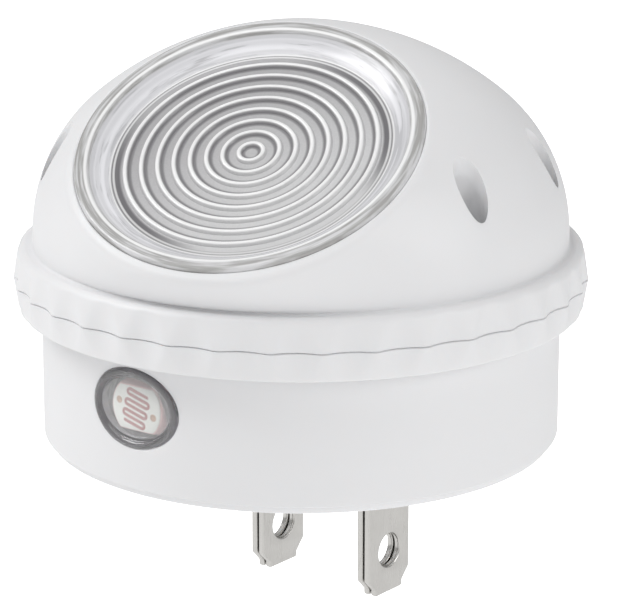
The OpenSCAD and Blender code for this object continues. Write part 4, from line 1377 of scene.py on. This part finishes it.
class BuildWindow(bpy.types.Operator):
    """Builds the clear oval window of the dusk sensor"""

    bl_idname = "night_light.window"
    bl_label = "Sensor Window"

    # inset from the oval's edge, and the height over the base's round side or the distance from its axis
    FRONT = (
        (3.4, 0.02), (3.0, 0.015), (2.2, -0.01), (1.4, -0.035), (0.86, -0.05), (0.78, -0.02), (0.72, 0.08),
        (0.64, 0.20), (0.52, 0.27), (0.38, 0.30), (0.22, 0.285), (0.09, 0.21), (0.01, 0.08), (0.0, -0.05),
        (0.0, -1.82), (-0.75, -1.83), (-0.8, -1.88), (-0.8, -2.9), (0.85, -3.1), (0.9, -3.0),
    )
    BACK = ((0.9, 23.62), (1.0, WINDOW_INSIDE_Y), (2.2, WINDOW_INSIDE_Y), (3.4, WINDOW_INSIDE_Y))

    def execute(self, context):
        rows = []
        for inset, height in self.FRONT:
            side = BASE_R / MM + height
            rows.append([(x * MM, -math.sqrt(side**2 - x * x) * MM, z * MM) for x, z in oval(inset, 120)])
        for inset, distance in self.BACK:
            rows.append([(x * MM, -distance * MM, z * MM) for x, z in oval(inset, 120)])
        start = (0, -(BASE_R + 0.025 * MM), WINDOW_Z * MM)
        stop = (0, -WINDOW_INSIDE_Y * MM, WINDOW_Z * MM)
        window = make_object("sensor_window_clear", fanned(rows, start, stop), smooth_angle=50.0)
        finished(window, "window_clear", "clear_plastic", "base", "sensor_window")
        return {"FINISHED"}


class BuildBase(bpy.types.Operator):
    """Builds the round base with its deck, hub and sensor opening, and the plug plate under it"""

    bl_idname = "night_light.base"
    bl_label = "Base and Plug Plate"

    def execute(self, context):
        base_r, under_deck = BASE_R / MM, DECK_Z - DECK_WALL
        section = [
            (base_r, BASE_FOOT), (base_r, DECK_Z), (HUB_R, DECK_Z), (HUB_R, HUB_TOP), (HUB_BORE_R, HUB_TOP),
            (HUB_BORE_R, under_deck), (BASE_WALL_R, under_deck), (BASE_WALL_R, BASE_FOOT),
        ]
        section = rounded(section, [0.16, 0.5, 0.25, 0.2, 0.15, 0.1, 0.4, 0.1], 5)
        shell = make_object("base_housing", lathe(section, 288))
        opening = [[(x * MM, y * MM, z * MM) for x, z in oval(-WINDOW_GAP, 96)] for y in (-27.0, -18.0)]
        cut(shell, make_object("window_cutter", capped(opening)))
        boss = lathe([(0.95, PLATE_H), (2.1, PLATE_H), (2.1, 12.4), (0.95, 12.4)], 40)
        bosses = [stood(boss, *on_circle(BOSS_RHO, degrees)) for degrees in BOSS_AT]
        merged(shell, make_object("base_bosses", joined(*bosses)))
        smooth(shell, 34.0)
        finished(shell, "shell_white", "white_plastic", "base", "base_shell")
        self.plate()
        return {"FINISHED"}

    @staticmethod
    def plate():
        """The plug plate, with slots for the blades and recesses for its screws."""
        section = [(0, 0), (23.45, 0), (23.7, 0.69), (22.1, 0.69), (22.1, PLATE_H), (0, PLATE_H)]
        plate = make_object("plug_face_plate", lathe(rounded(section, [0, 0.3, 0.05, 0.05, 0.3, 0], 4), 240))
        half_x, half_y = BLADE_THICK + BLADE_SEAM / 2 + SLOT_ROOM, BLADE_HALF + SLOT_ROOM
        tools = []
        for x in (-BLADE_X, BLADE_X):
            tools.append(block((x - half_x, BLADE_Y - half_y, -1), (x + half_x, BLADE_Y + half_y, 3.5)))
        recess = lathe([(0, -1), (2.25, -1), (2.1, 0.12), (2.1, 1.3), (1.1, 1.3), (1.1, 3.5), (0, 3.5)], 48)
        tools += [stood(recess, *on_circle(BOSS_RHO, degrees)) for degrees in BOSS_AT]
        cut(plate, make_object("plate_cutter", joined(*tools)))
        pillars = [rod(1.8, 2.2, 5.0, x, y, 40) for x, y in PILLARS]
        merged(plate, make_object("plate_pillars", joined(*pillars)))
        bevelled(plate, 0.08 * MM, 50.0)
        smooth(plate, 34.0)
        finished(plate, "shell_white", "white_plastic", "base", "plug_plate")


class BuildBlades(bpy.types.Operator):
    """Builds the two folded plug blades"""

    bl_idname = "night_light.blades"
    bl_label = "Plug Blades"

    def execute(self, context):
        for x, node in ((-BLADE_X, "blade_left"), (BLADE_X, "blade_right")):
            length = -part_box(node)[0].z / MM
            aside = (BLADE_THICK + BLADE_SEAM) / 2
            leaves = [self.leaf(length, x + off) for off in (-aside, aside)]
            blade = make_object(node + "_folded", joined(*leaves), None, 38.0)
            finished(blade, "blade_nickel", "plated_brass", "base", node)
        return {"FINISHED"}

    @staticmethod
    def outline(length):
        """A leaf's outline with its corners rounded: stepped tip, shoulders, ears over the plate and tail."""
        half = [
            (BLADE_TIP, -length, 0.3), (BLADE_TIP, 0.62 - length, 0.3), (BLADE_HALF, 1.75 - length, 0.35),
            (BLADE_HALF, PLATE_H, 0), (BLADE_EAR, PLATE_H, 0.2), (BLADE_EAR, 5.0, 0.3), (BLADE_TAIL, 5.0, 0),
            (BLADE_TAIL, 7.0, 0.2),
        ]
        mirrored = [(-u, v, corner_r) for u, v, corner_r in reversed(half)]
        whole = mirrored[-1:] + half + mirrored[:-1]
        return rounded([point[:2] for point in whole], [point[2] for point in whole], 4)

    @classmethod
    def leaf(cls, length, x):
        """One leaf, a flat outline with its hole and rounded edges, as (vertices, faces)."""
        hole = []
        for k in range(48):
            a = math.tau * k / 48
            hole.append((BLADE_HOLE_R * math.cos(a), -BLADE_HOLE_DOWN + BLADE_HOLE_R * math.sin(a)))
        curve = bpy.data.curves.new("leaf", "CURVE")
        curve.dimensions = "2D"
        curve.fill_mode = "BOTH"
        for ring in (cls.outline(length), hole):
            spline = curve.splines.new("POLY")
            spline.points.add(len(ring) - 1)
            for point, (u, v) in zip(spline.points, ring):
                point.co = (u * MM, v * MM, 0, 1)
            spline.use_cyclic_u = True
        curve.extrude = (BLADE_THICK / 2 - BLADE_EDGE) * MM
        curve.bevel_depth = BLADE_EDGE * MM
        curve.bevel_resolution = 2
        curve.offset = -BLADE_EDGE * MM
        flat = bpy.data.objects.new("leaf", curve)
        bpy.context.scene.collection.objects.link(flat)
        bpy.context.view_layer.update()
        data = bpy.data.meshes.new_from_object(flat.evaluated_get(bpy.context.evaluated_depsgraph_get()))
        bpy.data.objects.remove(flat)
        upright = Matrix.Rotation(math.radians(90), 4, "Z") @ Matrix.Rotation(math.radians(90), 4, "X")
        data.transform(Matrix.Translation((x * MM, BLADE_Y * MM, 0)) @ upright)
        return [tuple(v.co) for v in data.vertices], [list(face.vertices) for face in data.polygons]


def cell_place():
    """From the cell's face, with +Z towards the viewer, to the model's frame."""
    return Matrix.Translation((0, CELL_FRONT_Y * MM, CELL_Z * MM)) @ Matrix.Rotation(math.radians(90), 4, "X")


def track_place():
    """The same for the track and its electrodes, which lean on the face."""
    return cell_place() @ Matrix.Rotation(TRACK_LEAN, 4, "Z")


class BuildPhotocell(bpy.types.Operator):
    """Builds the photocell: ceramic disc, coated face, winding track and its electrodes"""

    bl_idname = "night_light.photocell"
    bl_label = "Photocell"

    def execute(self, context):
        body = self.disc("cell_body", CELL_R, CELL_FLATS, -CELL_THICK, -0.04, 0.12)
        finished(body, "cell_ceramic", "photocell_face", "base", "photocell")
        face = self.disc("cell_face", CELL_R - 0.12, CELL_FLATS - 0.2, -0.06, 0.0, 0.02)
        finished(face, "cell_face", "photocell_face", "base")
        track = make_object("cell_track", self.track(), track_place(), 50.0)
        finished(track, "cell_track", "photocell_face", "base")
        button = lathe([(0, 0.09), (0.18, 0.08), (0.3, 0.03), (0.36, -0.04), (0, -0.04)], 32)
        pair = [stood(button, x, 0) for x in (-1.95, 1.95)]
        electrodes = make_object("cell_electrodes", joined(*pair), track_place(), 60.0)
        finished(electrodes, "electrode_copper", "screw_steel", "base")
        return {"FINISHED"}

    @staticmethod
    def disc(name, disc_r, flats, low, high, edge):
        """A disc with two flats and eased edges, as a stack of outlines."""
        levels = [(edge, low), (0, low + edge), (0, high - edge)]
        levels += [(edge * 0.3, high - edge * 0.3), (edge, high)]
        rows = []
        for inset, z in levels:
            row = []
            for j in range(128):
                a = math.tau * j / 128
                x, y = (disc_r - inset) * math.cos(a), (disc_r - inset) * math.sin(a)
                y = max(-flats / 2 + inset, min(flats / 2 - inset, y))
                row.append((x * MM, y * MM, z * MM))
            rows.append(row)
        return make_object(name, capped(rows), cell_place(), 35.0)

    @staticmethod
    def track_line():
        """The middle line of the track: straight runs with round turns between them, in millimetres."""
        turn_r = TRACK_PITCH / 2
        points = []
        for i in range(TRACK_RUNS):
            z = (i - (TRACK_RUNS - 1) / 2) * TRACK_PITCH
            side = 1 if i % 2 == 0 else -1
            points += [(-side * TRACK_HALF, z), (side * TRACK_HALF, z)]
            if i < TRACK_RUNS - 1:
                for a in map(math.radians, (30, 60, 90, 120, 150)):
                    out = TRACK_HALF + turn_r * math.sin(a)
                    points.append((side * out, z + turn_r - turn_r * math.cos(a)))
        return points

    @classmethod
    def track(cls):
        """The winding track, drawn as one flat ribbon."""
        points = cls.track_line()
        rows = []
        for k, (x, z) in enumerate(points):
            way = Vector(points[min(k + 1, len(points) - 1)]) - Vector(points[max(k - 1, 0)])
            side = Vector((-way.y, way.x)).normalized() * TRACK_WIDTH
            edges = ((1, -0.02), (0.85, 0.035), (-0.85, 0.035), (-1, -0.02))
            rows.append([((x + side.x * out) * MM, (z + side.y * out) * MM, up * MM) for out, up in edges])
        return capped(rows)


# ---------------------------------------------------------------- screws


def screw_recess(arm, wide, depth):
    """The tapered cross that is cut into a screw's head, as its two bars."""
    low = [(-arm, -wide), (arm, -wide), (arm, wide), (-arm, wide)]
    vertices = [(x * MM, y * MM, -0.3 * MM) for x, y in low]
    vertices += [(x * 0.55 * MM, y * 0.8 * MM, depth * MM) for x, y in low]
    faces = [[0, 3, 2, 1], [4, 5, 6, 7], [0, 1, 5, 4], [1, 2, 6, 5], [2, 3, 7, 6], [3, 0, 4, 7]]
    return [moved((vertices, faces), Matrix.Rotation(turn, 4, "Z")) for turn in (0, math.radians(90))]


def screw_template(name, head_r, head_t, shank_r, length):
    """A pan-head screw with a cross recess, head down on z = 0 and its shank up, and rings for its thread."""
    crown = [(0, 0), (0.55, 0.0), (0.86, 0.16), (0.98, 0.42), (1, 0.7)]
    section = [(head_r * r, head_t * z) for r, z in crown]
    section += [(head_r, head_t - 0.06), (head_r - 0.06, head_t), (shank_r, head_t)]
    root, z = shank_r * 0.86, head_t + 0.3
    for _ in range(max(3, int((length - 1.0) / THREAD_PITCH))):
        section += [(root, z), (shank_r, z + 0.2), (shank_r, z + 0.28), (root, z + 0.45)]
        z += THREAD_PITCH
        if z > head_t + length - 0.6:
            break
    section += [(shank_r * 0.8, head_t + length - 0.35), (0, head_t + length)]
    screw = make_object(name, lathe(section, 36))
    for bar in screw_recess(head_r * 0.62, head_r * 0.17, head_t * 0.62):
        cut(screw, make_object(name + "_recess", bar))
    smooth(screw, 38.0)
    return screw


class BuildScrews(bpy.types.Operator):
    """Builds the screws: plug plate, main board, hub cap, dome and lamp board"""

    bl_idname = "night_light.screws"
    bl_label = "Screws"

    def execute(self, context):
        up, down = Matrix.Identity(4), Matrix.Rotation(math.pi, 4, "X")
        plate = [Vector((*on_circle(BOSS_RHO, degrees), 0.1)) * MM for degrees in BOSS_AT]
        self.row("plate_screw_row", "plate_screws", plate, up, PLATE_SCREW, "base", 4)
        board = [Vector((x, y, 7.2)) * MM for x, y in PILLARS]
        self.row("board_screw_row", "board_screws", board, down, BOARD_SCREW, "base", 7)
        cap = [Vector((*on_circle(CAP_SCREW_RHO, degrees), 18.5)) * MM for degrees in CAP_SCREW_AT]
        self.row("hub_cap_screw_row", "hub_cap_screws", cap, down, CAP_SCREW, "base", 9)
        dome = [Vector((*on_circle(POCKET_RHO, degrees), 21.2)) * MM for degrees in POCKET_AT]
        dome = [head_place() @ point for point in dome]
        self.row("dome_screw_row", "dome_screws", dome, down, DOME_SCREW, "head", 12)
        ends = (-LAMP_BOARD_SCREW_X, LAMP_BOARD_SCREW_X)
        lamp = [lens_place() @ (Vector((x, 0, LAMP_BOARD_BACK)) * MM) for x in ends]
        axis = lens_place().to_3x3().to_4x4()
        self.row("lamp_board_screw_row", "led_board_screws", lamp, axis, LAMP_BOARD_SCREW, "head", 15)
        return {"FINISHED"}

    @staticmethod
    def row(name, node, places, axis, screw, body, seed):
        """One row of like screws on the points of a small mesh."""
        template = screw_template(name + "_screw", *screw)
        data = bpy.data.meshes.new(name)
        data.from_pydata([tuple(place) for place in places], [], [])
        row = bpy.data.objects.new(name, data)
        bpy.context.scene.collection.objects.link(row)
        finish = finish_named("screw_zinc")
        settings = {"Screw": template, "Seed": seed, "Axis Turn": tuple(axis.to_euler()), "Finish": finish}
        with_tree(row, shared(screw_tree), settings)
        old = template.data
        bpy.data.objects.remove(template)
        bpy.data.meshes.remove(old)
        smooth(row, 38.0)
        finished(row, "screw_zinc", "screw_steel", body, node)


# ---------------------------------------------------------------- inner pieces


class BuildWires(bpy.types.Operator):
    """Builds the two lamp wires as they lie with the head at rest"""

    bl_idname = "night_light.wires"
    bl_label = "Lamp Wires"

    def execute(self, context):
        path = self.path()
        meshes = []
        for x in (-WIRE_APART, WIRE_APART):
            meshes.append(self.tube([point + Vector((x, 0, 0)) for point in path], WIRE_R, 20))
        wires = make_object("lamp_wires", joined(*meshes), head_place(), 60.0)
        wires.data.materials.append(finish_named("wire_coat"))
        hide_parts("led_leads")
        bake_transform(wires)
        return {"FINISHED"}

    @staticmethod
    def path():
        """The wires' way up through the hub, round one bend and along the lens's axis to the lamp board."""
        size = sizes()
        sine, cosine = math.sin(size.lens_tilt), math.cos(size.lens_tilt)
        out = size.lens_out / MM - WIRE_BACK * sine - WIRE_SIDE * cosine
        high = size.lens_z / MM - WIRE_BACK * cosine + WIRE_SIDE * sine
        bend_z = high - out / math.tan(size.lens_tilt)
        start = Vector((0, 0, bend_z - WIRE_BEND))
        corner = Vector((0, 0, bend_z))
        stop = Vector((0, -WIRE_BEND * sine, bend_z + WIRE_BEND * cosine))
        path = [Vector((0, 0, WIRE_START + (start.z - WIRE_START) * i / 24)) for i in range(25)]
        for i in range(1, 15):
            t = i / 14
            path.append(start.lerp(corner, t).lerp(corner.lerp(stop, t), t))
        return path + [path[-1].lerp(Vector((0, -out, high)), i / 8) for i in range(1, 9)]

    @staticmethod
    def tube(path, tube_r, segments):
        """A round tube along a path that stays in a plane of constant X."""
        across = Vector((1, 0, 0))
        rows = []
        for k, point in enumerate(path):
            way = (path[min(k + 1, len(path) - 1)] - path[max(k - 1, 0)]).normalized()
            other = way.cross(across)
            row = []
            for j in range(segments):
                a = math.tau * j / segments
                row.append((point + (across * math.cos(a) + other * math.sin(a)) * tube_r) * MM)
            rows.append(row)
        return capped(rows)


INNER_FINISHES = {
    "main_board": "board_green",
    "film_capacitor": "film_box",
    "smoothing_capacitor": "can_sleeve",
    "bridge_rectifier": "black_resin",
    "fuse_resistor": "resistor_coat",
    "resistors": "small_resistor_coat",
    "transistor": "black_resin",
    "photocell_leads": "lead_tin",
    "hub_cap": "natural_plastic",
    "friction_washer": "washer_rubber",
    "led_board": "board_white",
    "leds": "lamp_body",
}


class DressInside(bpy.types.Operator):
    """Gives the inner pieces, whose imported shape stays, their finishes"""

    bl_idname = "night_light.inside"
    bl_label = "Inner Pieces"

    def execute(self, context):
        for node, finish in INNER_FINISHES.items():
            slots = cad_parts[node].data.materials
            if not slots:
                slots.append(None)
            for i in range(len(slots)):
                slots[i] = finish_named(finish)
        cap = lathe([(0, 0.82), (0.5, 0.81), (0.85, 0.79), (1.0, 0.74), (1.1, 0.62), (0, 0.62)], 40)
        domes = []
        for degrees in LAMP_AT:
            turn = Matrix.Rotation(math.radians(degrees), 4, "Z")
            aside = Matrix.Translation((LAMP_RHO * MM, 0, BOWL_FOOT * MM))
            domes.append(moved(cap, lens_place() @ turn @ aside))
        phosphor = make_object("lamp_phosphor", joined(*domes), None, 50.0)
        finished(phosphor, "lamp_phosphor", "led_case", "head")
        return {"FINISHED"}


# ---------------------------------------------------------------- stage


def area_light(name, place, width, height, power):
    """A soft white rectangular light, in metres and watts."""
    data = bpy.data.lights.new(name, "AREA")
    data.shape = "RECTANGLE"
    data.size, data.size_y = width, height
    data.energy = power
    light = bpy.data.objects.new(name, data)
    bpy.context.scene.collection.objects.link(light)
    light.location = place
    light.rotation_euler = (Vector(LIGHT_AIM) - Vector(place)).to_track_quat("-Z", "Y").to_euler()


def floor_card(low):
    """The studio's floor, which glows a little and shows as plain white to the camera."""
    data = bpy.data.meshes.new("floor")
    corners = [(x * FLOOR_REACH, y * FLOOR_REACH, low) for x, y in ((-1, -1), (1, -1), (1, 1), (-1, 1))]
    data.from_pydata(corners, [], [[0, 1, 2, 3]])
    card = bpy.data.objects.new("floor", data)
    bpy.context.scene.collection.objects.link(card)
    material = bpy.data.materials.new("floor")
    material.use_nodes = True
    shader = material.node_tree.nodes["Principled BSDF"]
    shader.inputs["Base Color"].default_value = rgba(FLOOR_COLOUR)
    shader.inputs["Roughness"].default_value = 0.9
    shader.inputs["Emission Color"].default_value = rgba(FLOOR_COLOUR)
    sheet = NodeSheet(material.node_tree)
    ray = sheet.add("ShaderNodeLightPath")
    seen = sheet.math("MULTIPLY", ray.outputs["Is Camera Ray"], FLOOR_WHITE)
    sheet.link(sheet.math("ADD", seen, FLOOR_GLOW), shader.inputs["Emission Strength"])
    data.materials.append(material)


class BuildStage(bpy.types.Operator):
    """Sets the camera, the white surround, the pale floor and the lights"""

    bl_idname = "night_light.stage"
    bl_label = "Stage"

    def execute(self, context):
        scene = context.scene
        self.camera(scene)
        self.surround(scene)
        floor_card(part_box("blade_left")[0].z - stage_settings().floor_drop)
        for light in LIGHTS:
            area_light(*light)
        return {"FINISHED"}

    @staticmethod
    def camera(scene):
        """The camera that matches the photograph's view."""
        stage = stage_settings()
        data = bpy.data.cameras.new("camera")
        data.sensor_width = SENSOR_WIDTH
        data.lens = FOCAL_LENGTH
        data.shift_x = SHIFT_X
        data.clip_start, data.clip_end = 0.01, 20.0
        eye = bpy.data.objects.new("camera", data)
        scene.collection.objects.link(eye)
        out, turn = stage.camera_distance, stage.camera_azimuth
        eye.location = (out * math.sin(turn), -out * math.cos(turn), stage.camera_height)
        eye.rotation_euler = (math.radians(90) - stage.camera_pitch, 0, turn)
        scene.camera = eye

    @staticmethod
    def surround(scene):
        """A white surround, brighter to the camera than it is as light."""
        world = bpy.data.worlds.new("studio")
        world.use_nodes = True
        sheet = NodeSheet(world.node_tree)
        ray = sheet.add("ShaderNodeLightPath")
        seen = sheet.math("MULTIPLY", ray.outputs["Is Camera Ray"], BACKDROP - SURROUND)
        background = world.node_tree.nodes["Background"]
        background.inputs["Color"].default_value = (1.0, 1.0, 1.0, 1.0)
        sheet.link(sheet.math("ADD", seen, SURROUND), background.inputs["Strength"])
        scene.world = world
        scene.view_settings.view_transform = "Standard"


class NightLightPanel(bpy.types.Panel):
    """Lists the night light's pieces and settings"""

    bl_idname = "NIGHTLIGHT_PT_pieces"
    bl_label = "Night Light"
    bl_space_type = "VIEW_3D"
    bl_region_type = "UI"
    bl_category = "Night Light"

    def draw(self, context):
        layout = self.layout
        for step in STEPS:
            layout.operator(step.bl_idname)
        for settings in (sizes(), finishes(), stage_settings()):
            box = layout.box()
            for key in settings.__annotations__:
                box.prop(settings, key)


STEPS = (
    BuildStage,
    BuildBase,
    BuildWindow,
    BuildPhotocell,
    BuildBlades,
    BuildTray,
    BuildDome,
    BuildLens,
    BuildReflector,
    BuildScrews,
    BuildWires,
    DressInside,
)
SETTINGS = (NightLightSizes, NightLightFinishes, NightLightStage)


def register():
    """Registers the operators, the panel and the settings."""
    for kind in SETTINGS + STEPS + (NightLightPanel,):
        bpy.utils.register_class(kind)
    bpy.types.Scene.night_light_sizes = bpy.props.PointerProperty(type=NightLightSizes)
    bpy.types.Scene.night_light_finishes = bpy.props.PointerProperty(type=NightLightFinishes)
    bpy.types.Scene.night_light_stage = bpy.props.PointerProperty(type=NightLightStage)


def unregister():
    """Takes them all off again."""
    del bpy.types.Scene.night_light_stage
    del bpy.types.Scene.night_light_finishes
    del bpy.types.Scene.night_light_sizes
    for kind in reversed(SETTINGS + STEPS + (NightLightPanel,)):
        bpy.utils.unregister_class(kind)


def main():
    """Builds every piece."""
    register()
    for step in STEPS:
        group, name = step.bl_idname.split(".")
        result = getattr(getattr(bpy.ops, group), name)()
        if result != {"FINISHED"}:
            raise RuntimeError(f"{step.bl_label} was not built")


if __name__ == "__main__":
    main()
